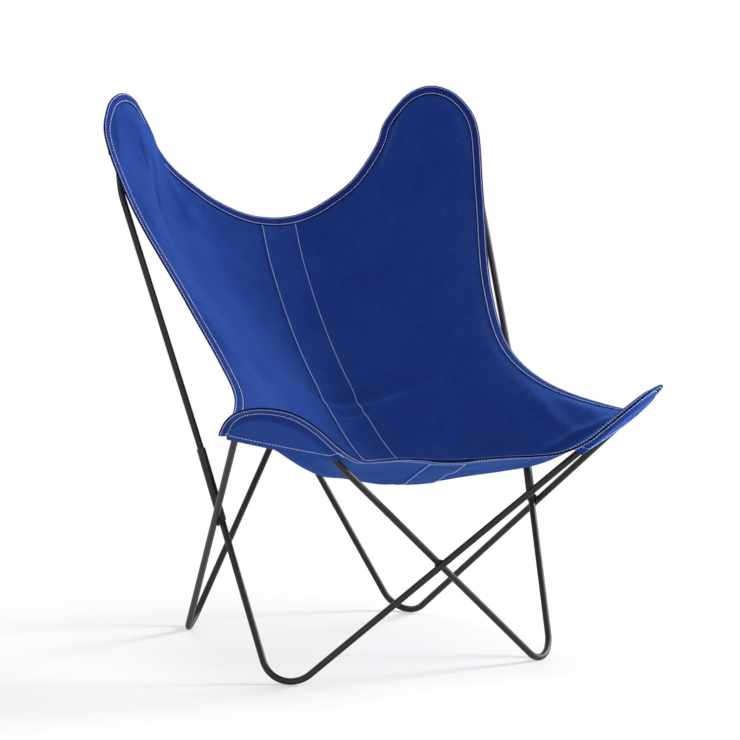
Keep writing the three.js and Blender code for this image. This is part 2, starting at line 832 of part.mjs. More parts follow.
const frontBars = Object.values(SIDES).map((side) => bar(frontHorn(side), feet[-side].front));
const rearBars = Object.values(SIDES).map((side) => bar(feet[side].rear, rearCrossing(side)));
add("front_crossing_weld", bead(...closest(...frontBars)), weldSteel());
add("rear_crossing_weld", bead(...closest(...rearBars)), weldSteel());

for (const [name, side] of Object.entries(SIDES)) {
  add("sling_panel_" + name, panel(side), canvas());
  add("edge_hem_" + name, hem(side), hemCanvas());
  const { front, back } = horns[side];
  const frontReaches = [frontMouthReach, frontMouthInnerReach];
  const backReaches = [backMouthInnerReach, backMouthReach];
  add("front_pocket_" + name, pocket(side, front, panelColumns + panelRows, frontReaches), canvas());
  add("back_pocket_" + name, pocket(side, back, panelColumns, backReaches), canvas());
}
add("centre_strip", strip(), canvas());

// The origin is on the floor under the middle of the whole chair.
const box = new THREE.Box3().setFromObject(chair);
const middle = box.getCenter(point(0, 0, 0));
for (const mesh of chair.children) mesh.geometry.translate(-middle.x, -middle.y, 0);

export default chair;
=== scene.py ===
"""A demountable sling chair: bent steel rods and a blue canvas sling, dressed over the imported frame.

The shapes are worked out in millimetres in the classes below and turned to metres where a mesh is made.
"""

import logging
import math
from dataclasses import dataclass, field
from enum import Enum
from typing import Iterable, Sequence

import bpy
import numpy as np
from mathutils import Matrix, Vector


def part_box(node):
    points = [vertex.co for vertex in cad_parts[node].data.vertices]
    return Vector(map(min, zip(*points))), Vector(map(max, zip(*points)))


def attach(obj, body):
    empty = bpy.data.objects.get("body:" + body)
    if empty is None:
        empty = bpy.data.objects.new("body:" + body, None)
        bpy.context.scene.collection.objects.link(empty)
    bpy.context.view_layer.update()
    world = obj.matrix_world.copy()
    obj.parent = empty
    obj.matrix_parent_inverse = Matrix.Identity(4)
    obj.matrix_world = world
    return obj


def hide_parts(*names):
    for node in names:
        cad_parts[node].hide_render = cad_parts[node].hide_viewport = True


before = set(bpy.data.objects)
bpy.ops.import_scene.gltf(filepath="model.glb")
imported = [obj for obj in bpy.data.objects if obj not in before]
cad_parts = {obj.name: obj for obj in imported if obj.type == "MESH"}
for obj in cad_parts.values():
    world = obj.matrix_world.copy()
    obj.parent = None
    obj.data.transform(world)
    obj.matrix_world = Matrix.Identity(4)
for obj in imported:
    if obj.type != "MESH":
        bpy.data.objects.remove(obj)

MM = 0.001
ROOT = "root"
UP = np.array([0.0, 0.0, 1.0])
FORWARD = np.array([0.0, -1.0, 0.0])
SHARP_TURN = math.radians(50.0)
WHITE = (1.0, 1.0, 1.0, 1.0)
log = logging.getLogger("chair")

Colour = tuple[float, float, float, float]
Pair = tuple[float, float]
Triple = tuple[float, float, float]
Faces = list[tuple[int, ...]]


class Side(Enum):
    """The chair's sides, seen by someone who looks at its front."""

    LEFT = -1
    RIGHT = 1

    @property
    def label(self) -> str:
        """The side's name in lower case."""
        return self.name.lower()

    @property
    def other(self) -> "Side":
        """The opposite side."""
        return Side(-self.value)


class End(Enum):
    """The chair's ends, from front to back."""

    FRONT = "front"
    BACK = "back"


class Slot(Enum):
    """The record's material slots."""

    FRAME = "frame"
    CANVAS = "canvas"
    HEM = "hem"


def unit(vector: np.ndarray) -> np.ndarray:
    """The vector, or each row of an array of them, at length 1."""
    length = np.linalg.norm(vector, axis=-1, keepdims=True)
    return vector / np.maximum(length, 1e-12)


def smoothstep(share: np.ndarray) -> np.ndarray:
    """A smooth rise from 0 to 1 as the share goes from 0 to 1."""
    held = np.clip(share, 0.0, 1.0)
    return held * held * (3.0 - 2.0 * held)


def run_lengths(places: np.ndarray) -> np.ndarray:
    """How far along a line each of its places lies."""
    steps = np.linalg.norm(np.diff(places, axis=0), axis=1)
    return np.concatenate([[0.0], np.cumsum(steps)])


def read_rows(values: np.ndarray, marks: np.ndarray, at: np.ndarray | float) -> np.ndarray:
    """A table's vectors, read between the marks at which its rows stand."""
    return np.stack([np.interp(at, marks, values[:, k]) for k in range(3)], axis=-1)


def cell_crosses(grid: np.ndarray) -> np.ndarray:
    """Each cell's normal, twice as long as the cell's area."""
    return np.cross(grid[1:, 1:] - grid[:-1, :-1], grid[1:, :-1] - grid[:-1, 1:])


def dimmed(colour: Colour, share: float) -> Colour:
    """A colour at a share of its brightness."""
    return tuple(share * part for part in colour[:3]) + (1.0,)


def ring_faces(rings: int, sides: int) -> Faces:
    """The faces between rings of corners that follow one another.

    Args:
        rings: how many rings there are.
        sides: how many corners each ring has.

    Returns:
        The faces, as rows of corner numbers.
    """
    faces = []
    for base in range(0, (rings - 1) * sides, sides):
        for i in range(sides):
            j = (i + 1) % sides
            faces.append((base + i, base + j, base + sides + j, base + sides + i))
    return faces


class Wire:
    """A shader socket on which Python's operators add Math nodes."""

    def __init__(self, bench: "Bench", socket: bpy.types.NodeSocket) -> None:
        """Wraps one output socket of a bench's nodes."""
        self.bench = bench
        self.socket = socket

    def _math(self, operation: str, first: object, second: object) -> "Wire":
        """The result of one Math node on two numbers or wires."""
        return self.bench.wire("ShaderNodeMath", {"operation": operation}, {0: first, 1: second})

    def __add__(self, other: object) -> "Wire":
        """self + other."""
        return self._math("ADD", self, other)

    __radd__ = __add__

    def __sub__(self, other: object) -> "Wire":
        """self - other."""
        return self._math("SUBTRACT", self, other)

    def __rsub__(self, other: object) -> "Wire":
        """other - self."""
        return self._math("SUBTRACT", other, self)

    def __mul__(self, other: object) -> "Wire":
        """self * other."""
        return self._math("MULTIPLY", self, other)

    __rmul__ = __mul__

    def sine(self) -> "Wire":
        """The sine of the value, in radians."""
        return self._math("SINE", self, 0.0)

    def absolute(self) -> "Wire":
        """The value without its sign."""
        return self._math("ABSOLUTE", self, 0.0)

    def at_least(self, other: object) -> "Wire":
        """The larger of the value and another."""
        return self._math("MAXIMUM", self, other)

    def above(self, other: object) -> "Wire":
        """1 where the value is above another, and 0 elsewhere."""
        return self._math("GREATER_THAN", self, other)


class Bench:
    """One material or world and the nodes that are put into it."""

    def __init__(self, name: str, kinds: bpy.types.bpy_prop_collection | None = None) -> None:
        """Starts an empty set of nodes.

        Args:
            name: the material's or world's name.
            kinds: the collection that it goes into, or None for the materials.
        """
        self.material = (bpy.data.materials if kinds is None else kinds).new(name)
        self.material.use_nodes = True
        self.tree = self.material.node_tree
        self.tree.nodes.clear()

    def node(self, kind: str, settings: dict | None = None, inputs: dict | None = None) -> bpy.types.Node:
        """Adds a node.

        Args:
            kind: the node's type.
            settings: its settings, by name.
            inputs: values or wires for its sockets, by name or number.

        Returns:
            The new node.
        """
        made = self.tree.nodes.new(kind)
        for key, value in (settings or {}).items():
            setattr(made, key, value)
        for key, value in (inputs or {}).items():
            if isinstance(value, Wire):
                self.tree.links.new(value.socket, made.inputs[key])
            else:
                made.inputs[key].default_value = value
        return made

    def wire(
        self, kind: str, settings: dict | None = None, inputs: dict | None = None, output: object = 0
    ) -> Wire:
        """Adds a node and returns one of its outputs as a wire."""
        return Wire(self, self.node(kind, settings, inputs).outputs[output])

    def coordinates(self, output: str) -> Wire:
        """Texture coordinates: "Object" or "UV"."""
        return self.wire("ShaderNodeTexCoord", None, None, output)

    def parts(self, vector: Wire) -> tuple[Wire, ...]:
        """The three numbers of a vector."""
        split = self.node("ShaderNodeSeparateXYZ", None, {0: vector})
        return tuple(Wire(self, output) for output in split.outputs)

    def blend(self, factor: object, first: object, second: object) -> Wire:
        """A colour mixed from two by a factor, with a Mix node."""
        return self.wire("ShaderNodeMix", {"data_type": "RGBA"}, {0: factor, 6: first, 7: second}, 2)

    def noise(self, place: Wire, scale: float, detail: float = 2.0, roughness: float = 0.5) -> Wire:
        """Noise at a place, from 0 to 1."""
        sizes = {"Vector": place, "Scale": scale, "Detail": detail, "Roughness": roughness}
        return self.wire("ShaderNodeTexNoise", None, sizes)

    def rise(self, value: Wire, low: float, high: float) -> Wire:
        """0 to 1 as the value goes from low to high."""
        limits = {"Value": value, "From Min": low, "From Max": high}
        return self.wire("ShaderNodeMapRange", {"clamp": True}, limits)

    def bump(self, height: Wire, strength: float, depth: float, normal: Wire | None = None) -> Wire:
        """A normal tilted by a height.

        Args:
            height: the height, from 0 to 1.
            strength: how far the bump counts, from 0 to 1.
            depth: the height's size in metres.
            normal: the normal it starts from.

        Returns:
            The tilted normal.
        """
        inputs = {"Strength": strength, "Distance": depth, "Height": height}
        if normal is not None:
            inputs["Normal"] = normal
        return self.wire("ShaderNodeBump", None, inputs)

    def backdrop_rays(self) -> Wire:
        """Tells what is seen from what is lit.

        Returns:
            1 for what the camera sees, directly or in a glossy or clear surface, and 0 for light.
        """
        rays = self.node("ShaderNodeLightPath")
        names = ("Is Camera Ray", "Is Glossy Ray", "Is Transmission Ray")
        seen, glossy, clear = (Wire(self, rays.outputs[name]) for name in names)
        return seen.at_least(glossy).at_least(clear)

    def surface(self, inputs: dict) -> bpy.types.Material:
        """Closes the material with a Principled surface.

        Args:
            inputs: values or wires for the surface's sockets, by name.

        Returns:
            The finished material.
        """
        shader = self.wire("ShaderNodeBsdfPrincipled", None, inputs)
        self.node("ShaderNodeOutputMaterial", None, {"Surface": shader})
        return self.material


@dataclass(frozen=True)
class CanvasFinish:
    """Plain-woven cotton canvas with uneven dye, creases and a soft nap.

    Depths are in metres. Each shadow line is painted shade: a dark line along a fold or raw edge of a hem,
    where the edge casts a shadow, given by its place across the flat hem in metres.
    """

    name: str
    colour: Colour = (0.013, 0.039, 0.224, 1.0)
    faded: Colour = (0.022, 0.06, 0.275, 1.0)
    deep: Colour = (0.0085, 0.0255, 0.164, 1.0)
    nap: Colour = (0.13, 0.34, 1.0, 1.0)
    roughness: float = 0.9
    specular: float = 0.03
    nap_weight: float = 0.6
    nap_roughness: float = 0.35
    threads_per_metre: float = 1150.0
    thread_depth: float = 0.00022
    slub_scale: float = 520.0
    slub_depth: float = 0.000352
    cloud_scale: float = 9.0
    blotch_scale: float = 46.0
    crease_scale: float = 26.0
    crease_depth: float = 0.0028
    # Painted shade: thin dark lines along the hem's edges that stand in for the shadows of those edges.
    painted_shadow_lines: tuple[float, ...] = ()
    painted_shadow_width: float = 0.0023
    painted_shadow_share: float = 0.3

    def material(self) -> bpy.types.Material:
        """Builds the finish.

        Returns:
            The node material.
        """
        bench = Bench(self.name)
        place = bench.coordinates("Object")
        over_cloth, down_cloth, _ = bench.parts(bench.coordinates("UV"))
        across = over_cloth * (self.threads_per_metre * math.pi)
        along = down_cloth * (self.threads_per_metre * math.pi)
        warp = across.sine() * across.sine()
        weft = along.sine() * along.sine()
        warp_on_top = (across.sine() * along.sine()).above(0.0)
        weave = warp_on_top * warp + (1.0 - warp_on_top) * weft
        slub = bench.noise(place, self.slub_scale, 2.0, 0.6)
        cloudy = bench.noise(place, self.cloud_scale, 4.0, 0.55)
        blotch = bench.noise(place, self.blotch_scale, 5.0, 0.65)
        worn = bench.rise(cloudy * 0.6 + blotch * 0.4, 0.36, 0.68)
        dyed = bench.blend(worn, self.colour, self.faded)
        pits = bench.rise(slub, 0.3, 0.62)
        toned = bench.blend(pits * 0.75 + weave * 0.25, self.deep, dyed)
        # Painted shadow: darkens the colour in thin lines along the hem's edges, where the raised edges cast
        # shade.
        for line in self.painted_shadow_lines:
            gap = (over_cloth - line).absolute()
            away = bench.rise(gap, self.painted_shadow_width * 0.3, self.painted_shadow_width)
            toned = bench.blend(away, dimmed(self.deep, self.painted_shadow_share), toned)
        creases = bench.noise(place, self.crease_scale, 5.0, 0.6)
        folded = bench.bump(creases, 0.45, self.crease_depth)
        nubby = bench.bump(slub, 0.5, self.slub_depth, folded)
        normal = bench.bump(weave, 0.75, self.thread_depth, nubby)
        return bench.surface(
            {
                "Base Color": toned,
                "Roughness": self.roughness - worn * 0.06,
                "Normal": normal,
                "Specular IOR Level": self.specular,
                "Sheen Weight": self.nap_weight,
                "Sheen Roughness": self.nap_roughness,
                "Sheen Tint": self.nap,
            }
        )


@dataclass(frozen=True)
class ThreadFinish:
    """Pale sewing thread."""

    name: str = "pale_thread"
    colour: Colour = (0.74, 0.83, 1.0, 1.0)
    shaded: Colour = (0.5, 0.6, 0.92, 1.0)
    twist_scale: float = 900.0
    twist_depth: float = 0.0002

    def material(self) -> bpy.types.Material:
        """Builds the finish.

        Returns:
            The node material.
        """
        bench = Bench(self.name)
        twist = bench.noise(bench.coordinates("Object"), self.twist_scale)
        colour = bench.blend(bench.rise(twist, 0.35, 0.65), self.shaded, self.colour)
        normal = bench.bump(twist, 0.4, self.twist_depth)
        return bench.surface({"Base Color": colour, "Roughness": 0.7, "Normal": normal})


@dataclass(frozen=True)
class CoatFinish:
    """Black powder coat: satin, with a fine orange peel, dust on its upper sides and small rubbed marks."""

    name: str
    colour: Colour = (0.0075, 0.0075, 0.0078, 1.0)
    dusty: Colour = (0.024, 0.024, 0.025, 1.0)
    roughness: float = 0.4
    specular: float = 0.32
    peel_scale: float = 1100.0
    peel_depth: float = 0.00012
    patch_scale: float = 38.0
    mark_scale: float = 210.0

    def material(self) -> bpy.types.Material:
        """Builds the finish.

        Returns:
            The node material.
        """
        bench = Bench(self.name)
        place = bench.coordinates("Object")
        peel = bench.noise(place, self.peel_scale)
        patch = bench.noise(place, self.patch_scale, 4.0, 0.6)
        marks = bench.rise(bench.noise(place, self.mark_scale, 5.0, 0.7), 0.6, 0.72)
        _, _, upward = bench.parts(bench.wire("ShaderNodeNewGeometry", None, None, "Normal"))
        dust = bench.rise(upward, 0.2, 1.0) * bench.rise(patch, 0.35, 0.7)
        return bench.surface(
            {
                "Base Color": bench.blend(dust * 0.6 + marks * 0.25, self.colour, self.dusty),
                "Roughness": self.roughness + patch * 0.12 + dust * 0.12,
                "Normal": bench.bump(peel, 0.35, self.peel_depth),
                "Specular IOR Level": self.specular,
            }
        )


@dataclass(frozen=True)
class FloorFinish:
    """A white studio floor that keeps the chair's shadow and goes over into plain white around it.

    The plain white counts for the least share up to the near distance, in metres, and fully from the far one.
    """

    name: str = "studio_floor"
    colour: Colour = (0.86, 0.86, 0.86, 1.0)
    near: float = 0.7
    far: float = 1.9
    least: float = 0.5

    def material(self) -> bpy.types.Material:
        """Builds the finish.

        Returns:
            The node material.
        """
        bench = Bench(self.name)
        place = bench.coordinates("Object")
        speckle = bench.rise(bench.noise(place, 30.0, 3.0), 0.3, 0.7)
        colour = bench.blend(speckle, self.colour, dimmed(self.colour, 0.99))
        painted = {"Base Color": colour, "Roughness": 0.85, "Specular IOR Level": 0.1}
        surface = bench.wire("ShaderNodeBsdfPrincipled", None, painted)
        white = bench.wire("ShaderNodeEmission", None, {"Color": WHITE})
        reach = bench.wire("ShaderNodeVectorMath", {"operation": "LENGTH"}, {0: place}, "Value")
        plain = bench.rise(reach, self.near, self.far) * (1.0 - self.least) + self.least
        share = bench.backdrop_rays() * plain
        shader = bench.wire("ShaderNodeMixShader", None, {0: share, 1: surface, 2: white})
        bench.node("ShaderNodeOutputMaterial", None, {"Surface": shader})
        return bench.material


@dataclass
class Cloth:
    """The canvas, hem and thread materials that the sewn pieces share."""

    canvas: bpy.types.Material
    hem: bpy.types.Material
    thread: bpy.types.Material


class Place:
    """Where the chair stands in the frame: the shift that centres it from front to back, in metres."""

    centring = np.zeros(3)


def add_mesh(
    name: str,
    places: np.ndarray,
    faces: Iterable[Sequence[int]],
    material: bpy.types.Material,
    slot: Slot,
    lay: np.ndarray | None = None,
) -> bpy.types.Object:
    """Makes one piece of the chair and lets it ride on the frame.

    Args:
        name: the piece's name.
        places: its corners, in millimetres, before the chair is centred.
        faces: its faces, as rows of corner numbers.
        material: its finish.
        slot: the record's slot for that finish; not used.
        lay: each corner's place on the flat cloth, in metres, as UV coordinates.

    Returns:
        The new object.
    """
    mesh = bpy.data.meshes.new(name)
    mesh.from_pydata((places * MM + Place.centring).tolist(), [], [list(face) for face in faces])
    mesh.materials.append(material)
    if lay is not None:
        corners = np.zeros(len(mesh.loops), np.int32)
        mesh.loops.foreach_get("vertex_index", corners)
        flat = lay[corners].astype(np.float32).ravel()
        mesh.uv_layers.new(name="flat_cloth").data.foreach_set("uv", flat)
    mesh.shade_smooth()
    mesh.set_sharp_from_angle(angle=SHARP_TURN)
    piece = bpy.data.objects.new(name, mesh)
    bpy.context.scene.collection.objects.link(piece)
    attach(piece, ROOT)
    log.info("%s: %d faces", name, len(mesh.polygons))
    return piece


@dataclass
class BentLine:
    """The centre line of a bent rod: straights joined by round bends."""

    corners: list[np.ndarray]
    radii: list[float]
    step: float = math.radians(3.0)
    places: list[np.ndarray] = field(default_factory=list)

    def __post_init__(self) -> None:
        """Works out the places along the line."""
        self.places = [self.corners[0]]
        for i, radius in enumerate(self.radii):
            self._bend(*self.corners[i:i + 3], radius)
        self.places.append(self.corners[-1])

    def _bend(self, before: np.ndarray, corner: np.ndarray, after: np.ndarray, radius: float) -> None:
        """Adds one bend's places.

        Args:
            before: the corner before it.
            corner: the corner that it rounds.
            after: the corner after it.
            radius: its radius.
        """
        inward, outward = unit(corner - before), unit(after - corner)
        turn = math.acos(float(np.clip(inward @ outward, -1.0, 1.0)))
        start = corner - inward * radius * math.tan(turn / 2)
        axis = unit(np.cross(inward, outward))
        spoke = np.cross(axis, inward) * radius
        steps = max(3, math.ceil(turn / self.step))
        for i in range(steps + 1):
            angle = turn * i / steps
            turned = spoke * math.cos(angle) + np.cross(axis, spoke) * math.sin(angle)
            self.places.append(start + spoke - turned)


def tube_mesh(
    places: Sequence[np.ndarray], profile: Sequence[tuple[int, float]], sides: int
) -> tuple[np.ndarray, Faces]:
    """A round body along a line.

    Args:
        places: the line's places.
        profile: (place number, radius) pairs, from one end of the body to the other.
        sides: how many sides it has.

    Returns:
        Its corners and faces.
    """
    line = np.array(places)
    headings = unit(np.gradient(line, axis=0))
    side = unit(np.cross(headings[0], UP if abs(headings[0][2]) < 0.9 else np.array([1.0, 0.0, 0.0])))
    angles = np.arange(sides) * 2 * math.pi / sides
    frames = []
    for heading in headings:
        side = unit(side - heading * (side @ heading))
        frames.append((side, np.cross(heading, side)))
    rings = []
    for index, radius in profile:
        a, b = frames[index]
        rings.append(line[index] + radius * (np.outer(np.cos(angles), a) + np.outer(np.sin(angles), b)))
    return np.vstack(rings), ring_faces(len(rings), sides)


@dataclass(frozen=True)
class Bore:
    """Where a sleeve starts and which way it runs."""

    start: np.ndarray
    heading: np.ndarray

    def along(self, length: float) -> np.ndarray:
        """A place on the sleeve's axis."""
        return self.start + self.heading * length


@dataclass
class SteelFrame:
    """The bent rods and the sleeves that join them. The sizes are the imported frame's, in millimetres."""

    rod: float = 11.0
    touch_gap: float = 0.3
    rod_end_share: float = 0.6
    sleeve_wall: float = 1.5
    sleeve_play: float = 0.35
    sleeve_length: float = 126.0
    sleeve_ease: float = 0.5
    foot_flat: float = 0.4
    front_horn: Triple = (391.0, 421.0, 532.0)
    back_horn: Triple = (310.0, 375.0, 969.0)
    shoulder: Triple = (337.0, 249.0, 755.0)
    front_foot: Pair = (256.0, 211.0)
    rear_foot: Pair = (205.0, 271.0)
    rear_crossing: Pair = (315.0, 348.0)
    front_horn_radius: float = 65.0
    back_horn_radius: float = 46.0
    shoulder_radius: float = 150.0
    front_foot_radius: float = 49.0
    rear_foot_radius: float = 46.0
    socket_radius: float = 60.0
    side_crossing_share: float = 0.519
    rod_in_sleeve_share: float = 0.4
    leg_in_sleeve_share: float = 0.56
    settle_rounds: int = 12
    sides: int = 28
    feet: dict[tuple[Side, End], np.ndarray] = field(default_factory=dict)

    def __post_init__(self) -> None:
        """Sets the rods' offsets, stands the feet on the floor and centres the chair."""
        half = (self.rod + self.touch_gap) / 2
        rise, run = self.front_horn[2], self.front_horn[1] - self.front_foot[1]
        self.front_offset = half * math.hypot(run, rise) / rise
        rise, run = self.rear_crossing[1], self.rear_crossing[0] - self.rear_foot[1]
        self.rear_offset = half * math.hypot(run, rise) / rise
        self.radius = self.rod / 2
        self.sleeve_radius = self.radius + self.sleeve_play + self.sleeve_wall
        self._settle()
        low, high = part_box("side_sleeve_right")
        middle = self.side_bore(Side.RIGHT).along(self.sleeve_length / 2)
        Place.centring = np.array([0.0, (low[1] + high[1]) / 2 - middle[1] * MM, 0.0])

    def horn(self, side: Side) -> np.ndarray:
        """The corner of a front horn."""
        x, y, z = self.front_horn
        return np.array([side.value * x, -y - side.value * self.front_offset, z])

    def upper_horn(self, side: Side) -> np.ndarray:
        """The corner of a back horn."""
        x, y, z = self.back_horn
        return np.array([side.value * x, y + side.value * self.rear_offset, z])

    def upper_shoulder(self, side: Side) -> np.ndarray:
        """The corner where a hairpin's outer leg turns upright."""
        x, y, z = self.shoulder
        return np.array([side.value * x, y + side.value * self.rear_offset, z])

    def crossing(self, side: Side) -> np.ndarray:
        """The upper end of a base rod's rear leg, at the rear crossing."""
        y, z = self.rear_crossing
        return np.array([0.0, y - side.value * self.rear_offset, z])

    def side_bore(self, side: Side) -> Bore:
        """The side sleeve's axis.

        Args:
            side: the chair's side.

        Returns:
            The axis, from the sleeve's lower end upward.
        """
        horn, rear, front = self.horn(side), self.feet[side, End.BACK], self.feet[side, End.FRONT]
        crossed = horn + (rear - horn) * self.side_crossing_share
        inward = unit(np.cross(unit(rear - horn), unit(crossed - front)))
        if inward[0] * side.value > 0:
            inward = -inward
        start = crossed + inward * (self.radius + self.sleeve_radius + self.touch_gap)
        return Bore(start, unit(start - front))

    def rear_bore(self, side: Side) -> Bore:
        """The rear sleeve's axis."""
        heading = unit(self.crossing(side) - self.feet[side, End.BACK])
        return Bore(self.crossing(side) + heading * self.sleeve_radius * 2, heading)

    def _settle(self) -> None:
        """Lowers or raises each foot's corner until its bend stands on the floor."""
        for side in Side:
            s = side.value
            for end, (x, y), way in ((End.FRONT, self.front_foot, -1), (End.BACK, self.rear_foot, 1)):
                self.feet[side, end] = np.array([s * x, way * y - way * s * self.front_offset, 0.0])
        stand = self.radius - self.foot_flat
        for _ in range(self.settle_rounds):
            for side in Side:
                front, rear = self.feet[side, End.FRONT], self.feet[side, End.BACK]
                socket = self.side_bore(side).start
                front_low = self._lowest(self.horn(side.other), front, socket, self.front_foot_radius)
                rear_low = self._lowest(self.crossing(side), rear, self.horn(side), self.rear_foot_radius)
                front[2] += stand - front_low
                rear[2] += stand - rear_low

    @staticmethod
    def _lowest(before: np.ndarray, corner: np.ndarray, after: np.ndarray, radius: float) -> float:
        """Finds how low a bend's centre line comes.

        Args:
            before: the corner before the bend.
            corner: the corner that it rounds.
            after: the corner after it.
            radius: its radius.

        Returns:
            The height of its lowest place.
        """
        back, on = unit(before - corner), unit(after - corner)
        half = math.acos(float(back @ on)) / 2
        normal = unit(np.cross(back, on))
        centre = corner + unit(back + on) * radius / math.sin(half)
        down = unit(-UP + normal * (UP @ normal))
        return float((centre + down * radius)[2])

    def base_line(self, side: Side) -> BentLine:
        """The centre line of a base rod.

        Args:
            side: the side of the front horn that it carries.

        Returns:
            The line, from the rear sleeve round the horn to the side sleeve.
        """
        tucked = self.sleeve_length * self.rod_in_sleeve_share
        corners = [
            self.rear_bore(side).along(tucked),
            self.feet[side, End.BACK],
            self.horn(side),
            self.feet[side.other, End.FRONT],
            self.side_bore(side.other).along(tucked),
        ]
        return BentLine(corners, [self.rear_foot_radius, self.front_horn_radius, self.front_foot_radius])

    def hairpin_corners(self, side: Side) -> list[np.ndarray]:
        """The corners of a hairpin.

        Args:
            side: the side of its horn.

        Returns:
            The corners, from its outer leg to its inner one.
        """
        outer, inner = self.side_bore(side), self.rear_bore(side.other)
        start = self.sleeve_length * (1 - self.leg_in_sleeve_share)
        rise = self.sleeve_length + self.radius
        legs = [outer.along(start), outer.along(rise)], [inner.along(rise), inner.along(start)]
        return [*legs[0], self.upper_shoulder(side), self.upper_horn(side), *legs[1]]

    def hairpin_line(self, side: Side) -> BentLine:
        """The centre line of this side's hairpin."""
        radii = [self.socket_radius, self.shoulder_radius, self.back_horn_radius, self.socket_radius]
        return BentLine(self.hairpin_corners(side), radii)

    def _rod(self, name: str, line: BentLine, coat: bpy.types.Material) -> None:
        """Makes one rod, with its ends slightly rounded and its feet worn flat.

        Args:
            name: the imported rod's name.
            line: its centre line.
            coat: its finish.
        """
        end, eased = len(line.places) - 1, self.rod_end_share * self.radius
        profile = [(0, eased), *((i, self.radius) for i in range(end + 1)), (end, eased)]
        corners, faces = tube_mesh(line.places, profile, self.sides)
        last = len(corners) - self.sides
        faces.append(tuple(reversed(range(self.sides))))
        faces.append(tuple(range(last, last + self.sides)))
        corners[:, 2] = np.maximum(corners[:, 2], 0.0)
        piece = add_mesh(name + "_coated", corners, faces, coat, Slot.FRAME)
        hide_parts(name)

    def _sleeve(self, name: str, bore: Bore, coat: bpy.types.Material) -> None:
        """Makes one sleeve, a tube with eased rims.

        Args:
            name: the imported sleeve's name.
            bore: its axis.
            coat: its finish.
        """
        ease, outer, inner = self.sleeve_ease, self.sleeve_radius, self.sleeve_radius - self.sleeve_wall
        stops = (0.0, ease, self.sleeve_length - ease, self.sleeve_length)
        profile = [(0, inner), (0, outer - ease), (1, outer)]
        profile += [(2, outer), (3, outer - ease), (3, inner), (0, inner)]
        corners, faces = tube_mesh([bore.along(stop) for stop in stops], profile, self.sides)
        piece = add_mesh(name + "_coated", corners, faces, coat, Slot.FRAME)
        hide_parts(name)

    def build(self, coat: bpy.types.Material, weld: bpy.types.Material) -> None:
        """Makes the rods and sleeves and coats the welds.

        Args:
            coat: the rods' finish.
            weld: the welds' finish.
        """
        for side in Side:
            self._rod("base_rod_" + side.label, self.base_line(side), coat)
            self._rod("back_hairpin_" + side.label, self.hairpin_line(side), coat)
            self._sleeve("side_sleeve_" + side.label, self.side_bore(side), coat)
            self._sleeve("rear_sleeve_" + side.label, self.rear_bore(side), coat)
        for name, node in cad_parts.items():
            if "weld" in name:
                node.data.materials.clear()
                node.data.materials.append(weld)
                log.info("%s: coated", name)


class SmoothLine:
    """A centripetal curve through points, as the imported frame's source draws its seams."""

    def __init__(self, points: Sequence[np.ndarray], closed: bool) -> None:
        """Works out one cubic for each stretch between two points.

        Args:
            points: the points.
            closed: whether the last point runs on to the first.
        """
        given = np.array(points)
        if closed:
            p0, p1, p2, p3 = (np.roll(given, k, axis=0) for k in (1, 0, -1, -2))
        else:
            padded = np.vstack([2 * given[0] - given[1], given, 2 * given[-1] - given[-2]])
            p0, p1, p2, p3 = padded[:-3], padded[1:-2], padded[2:-1], padded[3:]
        d0, d1, d2 = (
            np.sqrt(np.linalg.norm(b - a, axis=1, keepdims=True)) for a, b in ((p0, p1), (p1, p2), (p2, p3))
        )
        t1 = ((p1 - p0) / d0 - (p2 - p0) / (d0 + d1) + (p2 - p1) / d1) * d1
        t2 = ((p2 - p1) / d1 - (p3 - p1) / (d1 + d2) + (p3 - p2) / d2) * d1
        self.parts = np.stack([p1, t1, -3 * p1 + 3 * p2 - 2 * t1 - t2, 2 * p1 - 2 * p2 + t1 + t2])
        self.closed = closed

    def at(self, share: np.ndarray) -> np.ndarray:
        """Reads the curve.

        Args:
            share: shares of the curve's run of points.

        Returns:
            The places there.
        """
        count = self.parts.shape[1]
        run = np.asarray(share) * count
        index = np.floor(run).astype(int)
        if self.closed:
            within, index = run - index, index % count
        else:
            index = np.clip(index, 0, count - 1)
            within = run - index
        w = within[:, None]
        c = self.parts[:, index]
        return c[0] + w * (c[1] + w * (c[2] + w * c[3]))


class Stretch:
    """A part of a smooth line, read by the share of its length."""

    SAMPLES = 900

    def __init__(self, line: SmoothLine, start: float, stop: float) -> None:
        """Measures the stretch.

        Args:
            line: the smooth line.
            start: the share of the line at which the stretch starts.
            stop: the share at which it stops.
        """
        self.line = line
        self.stops = np.linspace(start, stop, self.SAMPLES + 1)
        self.lengths = run_lengths(line.at(self.stops))

    def at(self, share: np.ndarray) -> np.ndarray:
        """The places at shares of the stretch's length."""
        wanted = np.asarray(share, float) * self.lengths[-1]
        return self.line.at(np.interp(wanted, self.lengths, self.stops))


